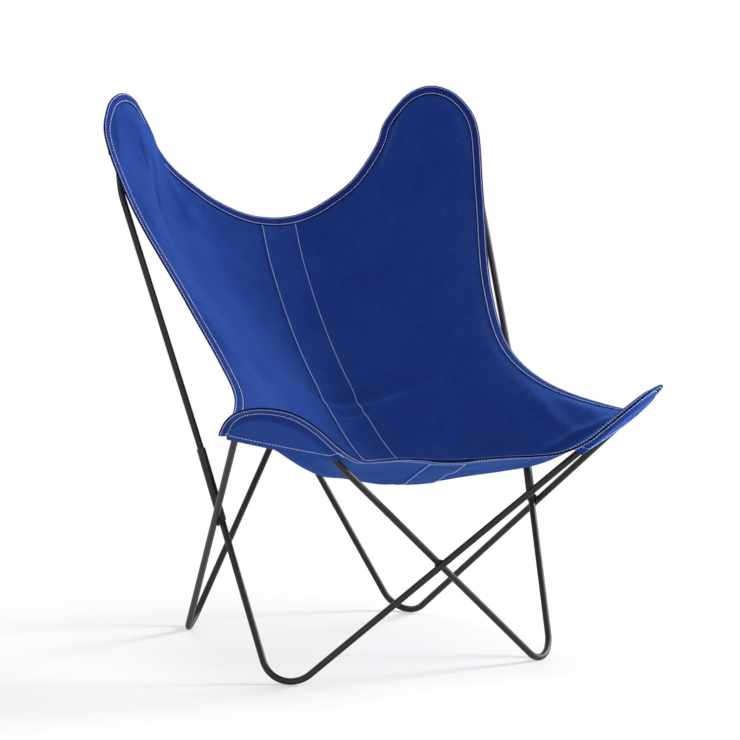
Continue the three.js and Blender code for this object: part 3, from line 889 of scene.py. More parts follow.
@dataclass
class Horn:
    """A horn's own directions, and the way in which cloth lies over its rod."""

    corner: np.ndarray
    flank: np.ndarray
    inner: np.ndarray
    radius: float
    facing: np.ndarray
    bearing_length: float = 300.0
    ridge_lift: float = 7.6
    ridge_reach: float = 60.0
    ridge_outer_reach: float = 12.5
    softness: float = 2.2

    def __post_init__(self) -> None:
        """Works out the horn's centre and directions."""
        a, b = unit(self.flank - self.corner), unit(self.inner - self.corner)
        half = math.acos(float(a @ b)) / 2
        self.out = -unit(a + b)
        self.centre = self.corner - self.out * self.radius / math.sin(half)
        self.across = unit(a - self.out * (a @ self.out))
        self.normal = unit(np.cross(a, b))
        if self.normal @ self.facing < 0:
            self.normal = -self.normal
        ends = [self.corner + leg * self.bearing_length for leg in (a, b)]
        self.line = np.array(BentLine([ends[0], self.corner, ends[1]], [self.radius]).places)

    def at(self, angle: float, reach: float, lift: float) -> np.ndarray:
        """A place by the horn's own measures.

        Args:
            angle: its angle round the bend, in degrees.
            reach: how far it lies beyond the rod's centre line.
            lift: how far it lies off the rods' plane.

        Returns:
            The place.
        """
        turn, spoke = math.radians(angle), self.radius + reach
        in_plane = self.out * math.cos(turn) + self.across * math.sin(turn)
        return self.centre + in_plane * spoke + self.normal * lift

    def _nearest(self, places: np.ndarray) -> tuple[np.ndarray, np.ndarray]:
        """Looks for the rod near each place.

        Args:
            places: the places.

        Returns:
            The nearest place on the rod's centre line to each of them, and how far off it is.
        """
        least = np.full(len(places), np.inf)
        nearest = places.copy()
        for a, b in zip(self.line[:-1], self.line[1:]):
            way = b - a
            share = np.clip((places - a) @ way / (way @ way), 0.0, 1.0)
            spot = a + share[:, None] * way
            gap = np.linalg.norm(places - spot, axis=1)
            closer = gap < least
            least[closer] = gap[closer]
            nearest[closer] = spot[closer]
        return nearest, least

    def clear(self, places: np.ndarray, reach: float) -> np.ndarray:
        """Moves cloth straight off the rod where it lies too near.

        Args:
            places: places of the cloth's middle.
            reach: the least distance from the rod's centre line.

        Returns:
            The places, moved where they have to be.
        """
        nearest, least = self._nearest(places)
        push = np.maximum(reach - least, 0.0)
        return places + unit(places - nearest) * push[:, None]

    def bear(self, places: np.ndarray) -> np.ndarray:
        """Lifts cloth that would run through the rod over it.

        Args:
            places: places of the cloth's middle.

        Returns:
            The places, lifted where they have to be.
        """
        nearest, least = self._nearest(places)
        away = places - nearest
        lift = away @ self.normal
        aside = np.sqrt(np.maximum(least**2 - lift**2, 0.0))
        deep = self.corner - self.out * self.bearing_length
        outside = np.einsum("ij,ij->i", away, nearest - deep) > 0
        reach = np.where(outside, self.ridge_outer_reach, self.ridge_reach)
        wanted = self.ridge_lift * (1 - (aside / reach) ** 2)
        over = wanted - lift
        push = (over + np.sqrt(over**2 + self.softness**2)) / 2
        push = np.where(over < -8 * self.softness, 0.0, push - self.softness / 32)
        return places + self.normal * np.maximum(push, 0.0)[:, None]


@dataclass(frozen=True)
class Fold:
    """A soft fold of the canvas along a line.

    Places on the cloth are (across, down) shares: across from -1 at the left edge, through 0 at the
    middle, to 1 at the right edge, and down from 0 at the back to 1 at the front. Its depth and widths
    are in millimetres, and over its crest, in millimetres too, the one width goes over into the other.
    The lower its fade, the further it keeps its depth toward its ends.
    """

    line: tuple[Pair, ...]
    depth: float
    widths: Pair
    fade: float = 0.7
    crest: float = 8.0

    def heights(self, across: np.ndarray, down: np.ndarray, width: float, length: float) -> np.ndarray:
        """How far the fold moves each place of the cloth along its normal, in millimetres.

        Args:
            across: the places' shares across, with their sign.
            down: their shares down.
            width: the width of a half.
            length: the length of the middle line.

        Returns:
            The heights. Seen along a line that runs down the picture, they fall off over the first
            width on the picture's left and over the second on its right.
        """
        spot = np.stack([across * width, down * length], axis=-1)
        marks = np.array(self.line) * (width, length)
        nearest = np.full(across.shape, np.inf)
        along, turn = np.zeros(across.shape), np.zeros(across.shape)
        count = len(marks) - 1
        for k in range(count):
            way = marks[k + 1] - marks[k]
            share = np.clip((spot - marks[k]) @ way / (way @ way), 0.0, 1.0)
            off = spot - (marks[k] + share[..., None] * way)
            gap = np.linalg.norm(off, axis=-1)
            closer = gap < nearest
            nearest = np.where(closer, gap, nearest)
            along = np.where(closer, (k + share) / count, along)
            aside = (way[0] * off[..., 1] - way[1] * off[..., 0]) / np.linalg.norm(way)
            turn = np.where(closer, aside, turn)
        left, right = self.widths
        reach = (left + right) / 2 + np.tanh(turn / self.crest) * (left - right) / 2
        ends = np.sin(np.pi * (along * 0.96 + 0.02)) ** self.fade
        return self.depth * np.exp(-((nearest / reach) ** 2)) * ends


BEHIND_LEFT_HORN = ((-0.95, 0.03), (-0.86, 0.05), (-0.8, 0.08), (-0.79, 0.12), (-0.86, 0.2), (-0.97, 0.27))
SLING_FOLDS = (
    Fold(BEHIND_LEFT_HORN, 16.0, (24, 26)),
    Fold(((-0.79, 0.0), (-0.75, 0.05), (-0.69, 0.09), (-0.6, 0.16)), 5.0, (12, 24)),
    Fold(((0.6, 0.83), (0.72, 0.85), (0.8, 0.86), (0.9, 0.86)), 7.0, (11, 15)),
    Fold(((0.95, 0.05), (0.87, 0.14), (0.9, 0.3)), 2.6, (30, 45)),
    Fold(((-0.66, 0.02), (-0.57, 0.035), (-0.48, 0.05), (-0.4, 0.08)), 3.6, (16, 22)),
    Fold(((-0.42, 0.02), (-0.36, 0.05), (-0.33, 0.1), (-0.33, 0.16), (-0.36, 0.24)), -4.0, (42, 42)),
    Fold(((-0.72, 0.43), (-0.42, 0.34), (-0.24, 0.27)), 3.2, (24, 34)),
    Fold(((-0.96, 0.44), (-0.93, 0.53), (-0.79, 0.57), (-0.5, 0.55)), 3.0, (22, 30)),
    Fold(((-0.55, 0.46), (-0.2, 0.53)), 9.0, (75, 75)),
    Fold(((-0.2, 0.455), (0.0, 0.467), (0.18, 0.475), (0.35, 0.49), (0.55, 0.52)), -7.0, (10, 17)),
    Fold(((-0.12, 0.505), (0.05, 0.505), (0.22, 0.505)), -5.0, (8, 11)),
    Fold(((0.9, 0.7), (0.84, 0.755), (0.8, 0.785), (0.77, 0.82), (0.72, 0.87)), 6.0, (9, 13)),
    Fold(((0.96, 0.74), (0.94, 0.79), (0.9, 0.85)), 2.4, (12, 14)),
    Fold(((-0.3, 0.78), (-0.15, 0.85), (0.0, 0.92), (0.12, 0.97)), -6.0, (40, 18)),
    Fold(((-0.1, 0.82), (-0.35, 0.74), (-0.6, 0.71)), 3.0, (10, 14)),
    Fold(((-0.08, 0.9), (-0.3, 0.84), (-0.5, 0.83)), 2.4, (9, 12)),
)


@dataclass
class Layout:
    """One half of the sling laid out: its grid, the shares across and down there, and its seam's stations."""

    grid: np.ndarray
    normals: np.ndarray
    across: np.ndarray
    down: np.ndarray
    stations: np.ndarray
    facing: np.ndarray
    outward: np.ndarray


@dataclass
class Sling:
    """The canvas sling: two halves, a strip over their joint, folded hems, pockets and stitching.

    Sizes are in millimetres unless they are shares. A seam's rows are (angle round the horn, ease and lift
    as shares of pocket_ease and seam_lift), and the rows of an edge or of the profile are (share of the
    chord between two places, bulge and sag as shares of its length). The rows of stitch_shape are (share of
    the stitch's length, thickness and rise as shares of the thread's radius), and thread_round is its round.
    """

    steel: SteelFrame
    cloth: Cloth
    thickness: float = 1.4
    hem_width: float = 15.0
    hem_lip: float = 1.2
    hem_groove: float = 0.3
    strip_width: float = 70.0
    strip_thickness: float = 1.1
    strip_gap: float = 0.25
    strip_tuck: float = 2.0
    strip_slope: float = 3.0
    strip_columns: int = 21
    pocket_ease: float = 10.0
    back_edge_dip: float = 220.0
    front_edge_dip: float = 107.0
    front_edge_draw: float = 49.0
    front_edge_sway: float = 4.0
    seam_lift: float = 3.6
    back_mouths: Pair = (150.0, 128.0)
    front_mouths: dict[Side, Pair] = field(
        default_factory=lambda: {Side.LEFT: (118.0, 160.0), Side.RIGHT: (136.0, 184.0)}
    )
    mouth_inset: float = 14.0
    rim_inset: float = 1.5
    pocket_gap: float = 0.35
    pocket_lap: float = 1.5
    pocket_sink: float = 16.0
    pocket_sag: float = 1.2
    pocket_fullness: float = 1.06
    pocket_columns: int = 97
    pocket_rows: int = 41
    pocket_crowding: float = 1.5
    row_end_share: float = 0.92
    hem_wave: float = 0.18
    hem_ripple: float = 0.12
    seat_valley_share: float = 0.19
    back_valley_share: float = 0.6
    valley_shares: Pair = (0.15, 0.55)
    stitch_pitch: float = 4.9
    stitch_length: float = 3.6
    stitch_radius: float = 0.5
    stitch_lift: float = 0.05
    hem_stitches: Pair = (1.2, 12.2)
    strip_stitch: float = 31.5
    columns: int = 76
    rows: int = 176
    crowding: float = 0.45
    flank_fade: float = 0.06
    end_fade: float = 0.03
    station_step: float = 0.3
    even_rounds: int = 60
    back_seam: tuple[Triple, ...] = (
        (-90, 2.75, -1.25),
        (-60, 1.3, 0.5),
        (-30, 1.0, 2.0),
        (0, 1.05, 2.2),
        (30, 1.1, 1.5),
        (60, 1.35, 1.0),
        (90, 2.3, 0.35),
    )
    front_seam: tuple[Triple, ...] = (
        (-90, 2.1, 1.0),
        (-60, 1.25, 1.0),
        (-30, 1.4, 1.0),
        (0, 1.1, 1.0),
        (30, 1.0, 1.0),
        (60, 1.0, 1.0),
        (90, 1.9, 1.0),
    )
    side_edge: tuple[Triple, ...] = (
        (0.12, 0.032, 0.087),
        (0.35, 0.108, 0.161),
        (0.54, 0.14, 0.172),
        (0.72, 0.126, 0.126),
        (0.88, 0.066, 0.064),
    )
    back_edge: tuple[Triple, ...] = (
        (0.25, 0.014, 0.112),
        (0.5, 0.026, 0.162),
        (0.68, 0.039, 0.164),
        (0.85, 0.008, 0.133),
        (0.96, 0.001, 0.067),
    )
    front_edge: tuple[Triple, ...] = (
        (0.38, 0.08, 0.054),
        (0.6, 0.087, 0.09),
        (0.76, 0.038, 0.094),
        (0.9, 0.005, 0.052),
    )
    profile: tuple[Triple, ...] = (
        (0.05, 0.0, 0.06),
        (0.19, 0.0, 0.148),
        (0.36, 0.0, 0.2015),
        (0.58, 0.0, 0.2195),
        (0.79, 0.0, 0.1645),
        (0.9, 0.0, 0.079),
    )
    stitch_shape: tuple[Triple, ...] = (
        (-0.5, 0.15, -0.5),
        (-0.42, 0.8, 0.1),
        (-0.15, 1.0, 0.55),
        (0.15, 1.0, 0.55),
        (0.42, 0.8, 0.1),
        (0.5, 0.15, -0.5),
    )
    thread_round: tuple[Pair, ...] = (
        (1.0, 0.0),
        (0.5, 0.87),
        (-0.5, 0.87),
        (-1.0, 0.0),
        (-0.5, -0.87),
        (0.5, -0.87),
    )
    folds: tuple[Fold, ...] = SLING_FOLDS

    def __post_init__(self) -> None:
        """Draws the seam lines and lays out both halves."""
        self.horns: dict[tuple[Side, End], Horn] = {}
        steel = self.steel
        for side in Side:
            rear, front = steel.feet[side, End.BACK], steel.feet[side.other, End.FRONT]
            hairpin = steel.hairpin_corners(side)
            self.horns[side, End.FRONT] = Horn(steel.horn(side), rear, front, steel.front_horn_radius, UP)
            self.horns[side, End.BACK] = Horn(
                steel.upper_horn(side), hairpin[2], hairpin[4], steel.back_horn_radius, FORWARD
            )
        self._draw_seams()
        self.layouts = {side: self._lay_out(side) for side in Side}

    @staticmethod
    def _hung(start: np.ndarray, stop: np.ndarray, table: Sequence[Triple], bulge: np.ndarray) -> list:
        """Places off the chord between two others, by shares of its length."""
        span = float(np.linalg.norm(stop - start))
        return [start + (stop - start) * t + bulge * span * b - UP * span * d for t, b, d in table]

    def _tip(self, side: Side, end: End) -> np.ndarray:
        """The place where a pocket's seam passes a horn's tip."""
        return self.horns[side, end].at(0, self.pocket_ease, self.seam_lift)

    def _round_horn(self, side: Side, end: End) -> list[np.ndarray]:
        """The seam's places round one horn."""
        horn, table = self.horns[side, end], self.front_seam if end is End.FRONT else self.back_seam
        return [horn.at(angle, self.pocket_ease * ease, self.seam_lift * lift) for angle, ease, lift in table]

    def _draw_seams(self) -> None:
        """Draws the closed seam line and the line down the middle of the seat."""
        back_middle, front_middle = (
            sum(self._tip(side, end) for side in Side) / 2 - UP * dip
            for end, dip in ((End.BACK, self.back_edge_dip), (End.FRONT, self.front_edge_dip))
        )
        front_middle[1] += self.front_edge_draw
        halves, self.tips = {}, {}
        for side in Side:
            back = self._round_horn(side, End.BACK)
            front = self._round_horn(side, End.FRONT)[::-1]
            run = [back_middle, *self._hung(back_middle, back[0], self.back_edge, FORWARD), *back]
            first = len(run) - 1 - len(back) // 2
            inward = np.array([-float(side.value), 0.0, 0.0])
            run += [*self._hung(back[-1], front[0], self.side_edge, inward), *front]
            second = len(run) - 1 - len(front) // 2
            hung = self._hung(front_middle, front[-1], self.front_edge, -FORWARD)
            sway = UP * self.front_edge_sway * side.value
            for place, (t, _, _) in zip(hung, self.front_edge):
                place -= sway * math.sin(math.pi * t)
            run += [*hung[::-1], front_middle]
            halves[side], self.tips[side] = run, (first, second)
        right, left = halves[Side.RIGHT], halves[Side.LEFT]
        self.total = len(right) + len(left) - 2
        self.last = len(right) - 1
        self.ring = SmoothLine(right + left[1:-1][::-1], True)
        middle = [back_middle, *self._hung(back_middle, front_middle, self.profile, UP), front_middle]
        self.middle = Stretch(SmoothLine(middle, False), 0.0, 1.0)

    def _edges(self, side: Side) -> tuple[Stretch, Stretch, Stretch]:
        """Cuts one half's edges out of the closed seam line.

        Args:
            side: the half's side.

        Returns:
            Its back edge, its flank and its front edge.
        """

        def share(index: int) -> float:
            """The share of the closed seam at one of its points."""
            return (index if side is Side.RIGHT else self.total - index) / self.total

        first, second = self.tips[side]
        ends = ((0, first), (first, second), (self.last, second))
        return tuple(Stretch(self.ring, share(start), share(stop)) for start, stop in ends)

    def _crossing(
        self, across: np.ndarray, down: np.ndarray, middle: np.ndarray, flank: np.ndarray
    ) -> np.ndarray:
        """Draws curves from the middle to the flank that leave the middle level and soon run straight.

        Args:
            across: shares of the way across.
            down: shares of the way down.
            middle: the places on the middle line.
            flank: the places on the flank.

        Returns:
            The places on the curves.
        """
        low, high = self.valley_shares
        seated = smoothstep((down[..., None] - low) / (high - low))
        valley = self.back_valley_share + (self.seat_valley_share - self.back_valley_share) * seated
        a = across[..., None]
        rise = (np.hypot(a, valley) - valley) / (np.hypot(1.0, valley) - valley)
        shares = np.concatenate([a, rise, rise], axis=-1)
        return middle + (flank - middle) * shares

    def _lay_out(self, side: Side) -> Layout:
        """Works out one half's grid, normals and seam stations.

        Args:
            side: the half's side.

        Returns:
            The half laid out.
        """
        back, flank, front = self._edges(side)
        j = np.linspace(0.0, 1.0, self.rows + 1)
        down = j - self.crowding * np.sin(2 * math.pi * j) / (2 * math.pi)
        i = np.linspace(0.0, 1.0, self.columns + 1)
        across = i * (1 + self.crowding * (1 - i))
        a, d = np.meshgrid(across, down)
        row = across[None, :]

        def crossed(shares: np.ndarray, stops: np.ndarray, heights: np.ndarray) -> np.ndarray:
            """The curves across the half at some stops down it."""
            middle, edge = (line.at(stops)[:, None, :] for line in (self.middle, flank))
            return self._crossing(shares, heights, middle, edge)

        place = crossed(a, down, d)
        back_fault = back.at(across)[None] - crossed(row, [0.0], np.zeros_like(row))
        front_fault = front.at(across)[None] - crossed(row, [1.0], np.ones_like(row))
        place = place + back_fault * ((1 - d) ** 2)[..., None] + front_fault * (d**2)[..., None]
        flat = place.reshape(-1, 3)
        for end in End:
            flat = self.horns[side, end].bear(flat)
        grid = flat.reshape(place.shape)
        grid[:, 0, 0] = side.value * self.steel.touch_gap
        width, length = abs(grid[:, -1, 0]).mean(), self.middle.lengths[-1]
        height = sum(fold.heights(a * side.value, d, width, length) for fold in self.folds)
        from_end = np.minimum(d, 1 - d) / self.end_fade
        height *= smoothstep(np.minimum((1 - a) / self.flank_fade, from_end))
        grid = grid + self._normals(grid, side) * height[..., None]
        normals = self._normals(grid, side)
        return Layout(grid, normals, a, d, *self._stations(grid, normals, side))

    @staticmethod
    def _normals(grid: np.ndarray, side: Side) -> np.ndarray:
        """Averages the upper face's normals from the cells round each place.

        Args:
            grid: one half's places.
            side: its side.

        Returns:
            The normal at each place.
        """
        cells = cell_crosses(grid) * side.value
        if cells[..., 2].sum() < 0:
            cells = -cells
        total = np.zeros_like(grid)
        before, after = slice(0, -1), slice(1, None)
        for rows, columns in ((before, before), (after, before), (before, after), (after, after)):
            total[rows, columns] += cells
        return unit(total)

    def _stations(self, grid: np.ndarray, normals: np.ndarray, side: Side) -> tuple[np.ndarray, ...]:
        """Follows one half's seam from the back edge round the flank to the front edge.

        Args:
            grid: the half's places.
            normals: the normals there.
            side: its side.

        Returns:
            The stations, and the evened normal and the way outward at each.
        """
        places, facing = (
            np.vstack([values[0], values[1:, -1], values[-1, :-1][::-1]]) for values in (grid, normals)
        )
        steps = np.linalg.norm(np.diff(places, axis=0), axis=1)
        keep = np.concatenate([[True], steps > self.station_step])
        places, facing = places[keep], facing[keep]
        for _ in range(self.even_rounds):
            facing[1:-1] = unit(facing[:-2] + 2 * facing[1:-1] + facing[2:])
        headings = unit(np.gradient(places, axis=0))
        headings[0] = (side.value, 0.0, 0.0)
        headings[-1] = (-side.value, 0.0, 0.0)
        facing = unit(facing - headings * np.einsum("ij,ij->i", facing, headings)[:, None])
        return places, facing, unit(np.cross(headings, facing) * -side.value)

    def _sheet(
        self, name: str, middle: np.ndarray, normals: np.ndarray, lay: np.ndarray, thickness: float
    ) -> bpy.types.Object:
        """Makes a sheet of canvas with two faces and an edge, from a grid of places.

        Args:
            name: the piece's name.
            middle: the grid of its middle, rows by columns by 3.
            normals: the normals there.
            lay: the flat cloth's coordinates at each place, in metres.
            thickness: the cloth's thickness.

        Returns:
            The new object.
        """
        rows, columns = middle.shape[:2]
        upper = (middle + normals * thickness / 2).reshape(-1, 3)
        lower = (middle - normals * thickness / 2).reshape(-1, 3)
        count = rows * columns
        faces = []
        for base in range(0, (rows - 1) * columns, columns):
            below = base + columns
            for i in range(columns - 1):
                a, b, c, d = base + i, base + i + 1, below + i + 1, below + i
                faces += [(a, b, c, d), (d + count, c + count, b + count, a + count)]
            for a, b in ((below, base), (base + columns - 1, below + columns - 1)):
                faces.append((b, a, a + count, b + count))
        for base, turn in ((0, 1), ((rows - 1) * columns, -1)):
            for a in range(base, base + columns - 1):
                faces.append((a + 1, a, a + count, a + 1 + count)[::turn])
        corner, beside, below = middle[0, 0], middle[0, 1], middle[1, 0]
        if np.cross(beside - corner, below - corner) @ normals[0, 0] < 0:
            faces = [face[::-1] for face in faces]
        flat = np.vstack([lay.reshape(-1, 2)] * 2)
        return add_mesh(name, np.vstack([upper, lower]), faces, self.cloth.canvas, Slot.CANVAS, flat)

    def build(self) -> None:
        for side in Side:
            panel = self._panel(side)
            hem = self._hem(side)
            stitches = self._hem_stitching(side)
            for end in (End.BACK, End.FRONT):
                self._pocket(side, end)
        self._strip()

    def _panel(self, side: Side) -> bpy.types.Object:
        """Makes one half of the sling.

        Args:
            side: its side.

        Returns:
            The new object.
        """
        layout, mean_width = self.layouts[side], 0.37
        lay = np.stack([layout.across * mean_width, layout.down * self.middle.lengths[-1] * MM], axis=-1)
        name = "canvas_half_" + side.label
        piece = self._sheet(name, layout.grid, layout.normals, lay, self.thickness)
        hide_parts("sling_panel_" + side.label)
        return piece

    def _hem_section(self) -> np.ndarray:
        """The hem's cross-section, with a shallow groove under each row of stitches.

        Returns:
            (outward of the seam, up from the cloth's middle) pairs, over the top and back underneath.
        """
        top, width = self.thickness / 2 + self.hem_lip, self.hem_width
        upper = [
            (-1.6, self.thickness / 2 - 0.1),
            (-1.5, top - 0.3),
            (-0.6, top),
            (self.hem_stitches[0], top - self.hem_groove),
            (3.5, top + 0.15),
            (7.5, top + 0.3),
            (self.hem_stitches[1] - 2.0, top + 0.15),
            (self.hem_stitches[1], top - 0.25),
            (width - 1.2, top - 0.05),
            (width - 0.35, top * 0.55),
            (width, 0.0),
        ]
        return np.array(upper + [(o, -l) for o, l in upper[-2::-1]])

    def _hem(self, side: Side) -> bpy.types.Object:
        """Makes the folded hem round one half, slightly uneven and puffed between its stitches.

        Args:
            side: the half's side.

        Returns:
            The new object.
        """
        layout, section = self.layouts[side], self._hem_section()
        outward, up = section.T
        lengths = run_lengths(layout.stations)
        wave = self.hem_wave * np.sin(lengths / 9.0) + self.hem_ripple * np.sin(lengths / 4.1 + 1.0)
        puff = np.interp(outward, [0.0, 3.0, 8.0, 12.0, 15.0], [0.0, 0.3, 1.0, 0.3, 0.0])
        lift = up + np.sign(up) * (np.outer(wave, puff) + self._over_strip(layout)[:, None])
        places = (
            layout.stations[:, None, :]
            + layout.outward[:, None, :] * outward[None, :, None]
            + layout.facing[:, None, :] * lift[..., None]
        )
        rows, columns = lift.shape
        faces = ring_faces(rows, columns)
        faces.append(tuple(range(columns))[::-1])
        faces.append(tuple(range((rows - 1) * columns, rows * columns)))
        if side is Side.RIGHT:
            faces = [face[::-1] for face in faces]
        around = run_lengths(section)
        lay = np.stack(np.broadcast_arrays(around[None, :] * MM, lengths[:, None] * MM), axis=-1)
        corners, flat = places.reshape(-1, 3), lay.reshape(-1, 2)
        piece = add_mesh("folded_hem_" + side.label, corners, faces, self.cloth.hem, Slot.HEM, flat)
        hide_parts("edge_hem_" + side.label)
        return piece

    def _over_strip(self, layout: Layout) -> np.ndarray:
        """How much higher the hem lies at each station, where it laps over the strip's ends."""
        beside = np.abs(layout.stations[:, 0]) - self.strip_width / 2
        return (self.strip_thickness + self.strip_gap) * (1 - smoothstep(beside / self.strip_slope))

    def _stitch_row(self, path: np.ndarray, normals: np.ndarray) -> tuple[np.ndarray, Faces]:
        """One row of stitches: short beads of thread that dip into the cloth at both ends.

        Args:
            path: the row's line, on the cloth's face.
            normals: the way off the cloth along it.

        Returns:
            Corners and faces of all its stitches.
        """
        lengths = run_lengths(path)
        count = int(lengths[-1] / self.stitch_pitch)
        starts = (np.arange(count) + 0.5) * lengths[-1] / count
        middle, normal = read_rows(path, lengths, starts), unit(read_rows(normals, lengths, starts))
        half = self.stitch_length / 2
        before, after = (read_rows(path, lengths, at) for at in (starts - half, starts + half))
        heading = unit(after - before)
        aside = unit(np.cross(heading, normal))
        corners = []
        for length, thick, rise in self.stitch_shape:
            radius = self.stitch_radius * thick
            centre = middle + heading * length * self.stitch_length + normal * rise * self.stitch_radius
            corners += [centre + aside * a * radius + normal * b * radius for a, b in self.thread_round]
        cells = np.array(ring_faces(len(self.stitch_shape), len(self.thread_round)))
        bases = np.arange(count) * len(corners)
        faces = (bases[:, None, None] + cells).reshape(-1, 4).tolist()
        return np.stack(corners, axis=1).reshape(-1, 3), faces

    def _thread(
        self, name: str, rows: Iterable[tuple[np.ndarray, np.ndarray]], slot: Slot
    ) -> bpy.types.Object:
        """Makes one piece from several rows of stitches.

        Args:
            name: the piece's name.
            rows: each row's line and the way off the cloth along it.
            slot: the record's slot.

        Returns:
            The new object.
        """
        corners, faces, count = [], [], 0
        for path, normals in rows:
            places, cells = self._stitch_row(path, normals)
            faces += [tuple(index + count for index in cell) for cell in cells]
            count += len(places)
            corners.append(places)
        return add_mesh(name, np.vstack(corners), faces, self.cloth.thread, slot)

    def _hem_stitching(self, side: Side) -> bpy.types.Object:
        """Makes both rows of stitches round one half's hem, on both faces.

        Args:
            side: the half's side.

        Returns:
            The new object.
        """
        layout = self.layouts[side]
        top = (self.thickness / 2 + self.hem_lip - self.hem_groove + self._over_strip(layout))[:, None]
        rows = []
        for outward in self.hem_stitches:
            for facing in (layout.facing, -layout.facing):
                rows.append((layout.stations + layout.outward * outward + facing * top, facing))
        return self._thread("hem_stitching_" + side.label, rows, Slot.HEM)

    def _pocket_middle(self, side: Side, end: End) -> tuple[np.ndarray, float]:
        """Lays out a pocket's cloth from its rim under the hem to its straight mouth, clear of the rod.

        Args:
            side: the side of the pocket's horn.
            end: the end of the chair at which that horn stands.

        Returns:
            The grid of the cloth's middle, and the mouth's length.
        """
        layout, horn = self.layouts[side], self.horns[side, end]
        nearest = int(np.argmin(np.linalg.norm(layout.stations - self._tip(side, end), axis=1)))
        lengths = run_lengths(layout.stations)
        before, after = self.back_mouths if end is End.BACK else self.front_mouths[side]
        stops = np.linspace(lengths[nearest] - before, lengths[nearest] + after, self.pocket_columns)
        seam, facing, outward = (
            read_rows(values, lengths, stops) for values in (layout.stations, layout.facing, layout.outward)
        )
        under = self.thickness + self.hem_lip + self.pocket_gap
        rim = seam + outward * (self.hem_stitches[0] + self.pocket_lap) - unit(facing) * under
        chord = rim[-1] - rim[0]
        share = np.clip((rim - rim[0]) @ chord / (chord @ chord), 0.0, 1.0)
        share = np.maximum.accumulate(share)
        mouth = rim[0] + share[:, None] * chord
        clearance = self.steel.radius + self.steel.touch_gap + self.thickness / 2
        rows = []
        for t in np.linspace(0.0, 1.0, self.pocket_rows) ** self.pocket_crowding:
            place = rim + (mouth - rim) * t
            sink = smoothstep(np.linalg.norm(place - rim, axis=1) / self.pocket_sink)
            lift = (place - horn.centre) @ horn.normal
            wanted = -clearance - self.pocket_sag * np.sin(np.pi * share) * t
            rows.append(place + horn.normal * ((wanted - lift) * sink)[:, None])
        middle = horn.clear(np.vstack(rows), clearance).reshape(len(rows), -1, 3)
        middle[:, 0] = middle[0, 0]
        middle[:, -1] = middle[0, -1]
        return middle, float(np.linalg.norm(chord))

    @staticmethod
    def _pocket_normals(middle: np.ndarray, below: np.ndarray) -> np.ndarray:
        """Works out the normals of a pocket's underside.

        Args:
            middle: the grid of its cloth.
            below: the way down from the horn, which stands in where the grid closes up.

        Returns:
            The normal at each place.
        """
        normals = np.cross(np.gradient(middle, axis=1), np.gradient(middle, axis=0))
        normals[np.linalg.norm(normals, axis=-1) < 1e-4] = below
        normals = unit(normals)
        normals = np.where((normals @ below)[..., None] < 0, -normals, normals)
        normals[:, 0] = below
        normals[:, -1] = below
        return normals

    def _pocket(self, side: Side, end: End) -> None:
        """Makes a pocket: cloth sewn on under a horn, open along a straight mouth.

        Args:
            side: the side of its horn.
            end: the end of the chair at which that horn stands.
        """
        horn = self.horns[side, end]
        middle, mouth = self._pocket_middle(side, end)
        normals = self._pocket_normals(middle, -horn.normal)
        lay = np.stack([(middle @ horn.across), (middle @ horn.out)], axis=-1) * MM
        name = f"{end.value}_pocket_{side.label}"
        piece = self._sheet(name + "_canvas", middle, normals, lay, self.thickness)
        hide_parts(name)
        threads, lift = [], self.thickness / 2 + self.stitch_lift
        for sheet, facing, inset in (
            (middle[::-1], normals[-1], self.mouth_inset),
            (middle, normals[0], self.rim_inset),
        ):
            threads.append((self._row_inside(sheet, inset) + facing * lift, facing))
        stitches = self._thread(name + "_stitching", threads, Slot.CANVAS)
        round(mouth * MM * self.pocket_fullness, 3)
        round(float(np.linalg.norm(cell_crosses(middle), axis=-1).sum() / 2) * MM * MM, 4)

    def _row_inside(self, sheet: np.ndarray, inset: float) -> np.ndarray:
        """The line that runs a given distance inside a sheet's first row, or less where the sheet is short.

        Args:
            sheet: the grid of the sheet's middle, rows by columns by 3.
            inset: the distance, in millimetres.

        Returns:
            One place for each column.
        """
        line = []
        for column in sheet.transpose(1, 0, 2):
            run = run_lengths(column)
            line.append(read_rows(column, run, min(inset, run[-1] * self.row_end_share)))
        return np.array(line)

    def _strip_grid(self) -> tuple[np.ndarray, np.ndarray]:
        """Reads both halves under the strip and carries it on at both ends, to tuck it under the hems.

        Returns:
            The grid of places under the strip, and the normals there.
        """
        left, right = self.layouts[Side.LEFT], self.layouts[Side.RIGHT]
        across = np.linspace(-self.strip_width / 2, self.strip_width / 2, self.strip_columns)
        seat, facing = [], []
        for j in range(self.rows + 1):
            known = np.concatenate([left.grid[j][::-1, 0], right.grid[j][:, 0]])
            for rows, one, other in ((seat, left.grid, right.grid), (facing, left.normals, right.normals)):
                rows.append(read_rows(np.vstack([one[j][::-1], other[j]]), known, across))
        seat, facing = np.array(seat), unit(np.array(facing))
        seat[..., 0] = across
        first, last = (
            seat[end] + unit(seat[end] - seat[inside]) * self.strip_tuck for end, inside in ((0, 1), (-1, -2))
        )
        seat = np.concatenate([first[None], seat, last[None]])
        return seat, np.concatenate([facing[:1], facing, facing[-1:]])

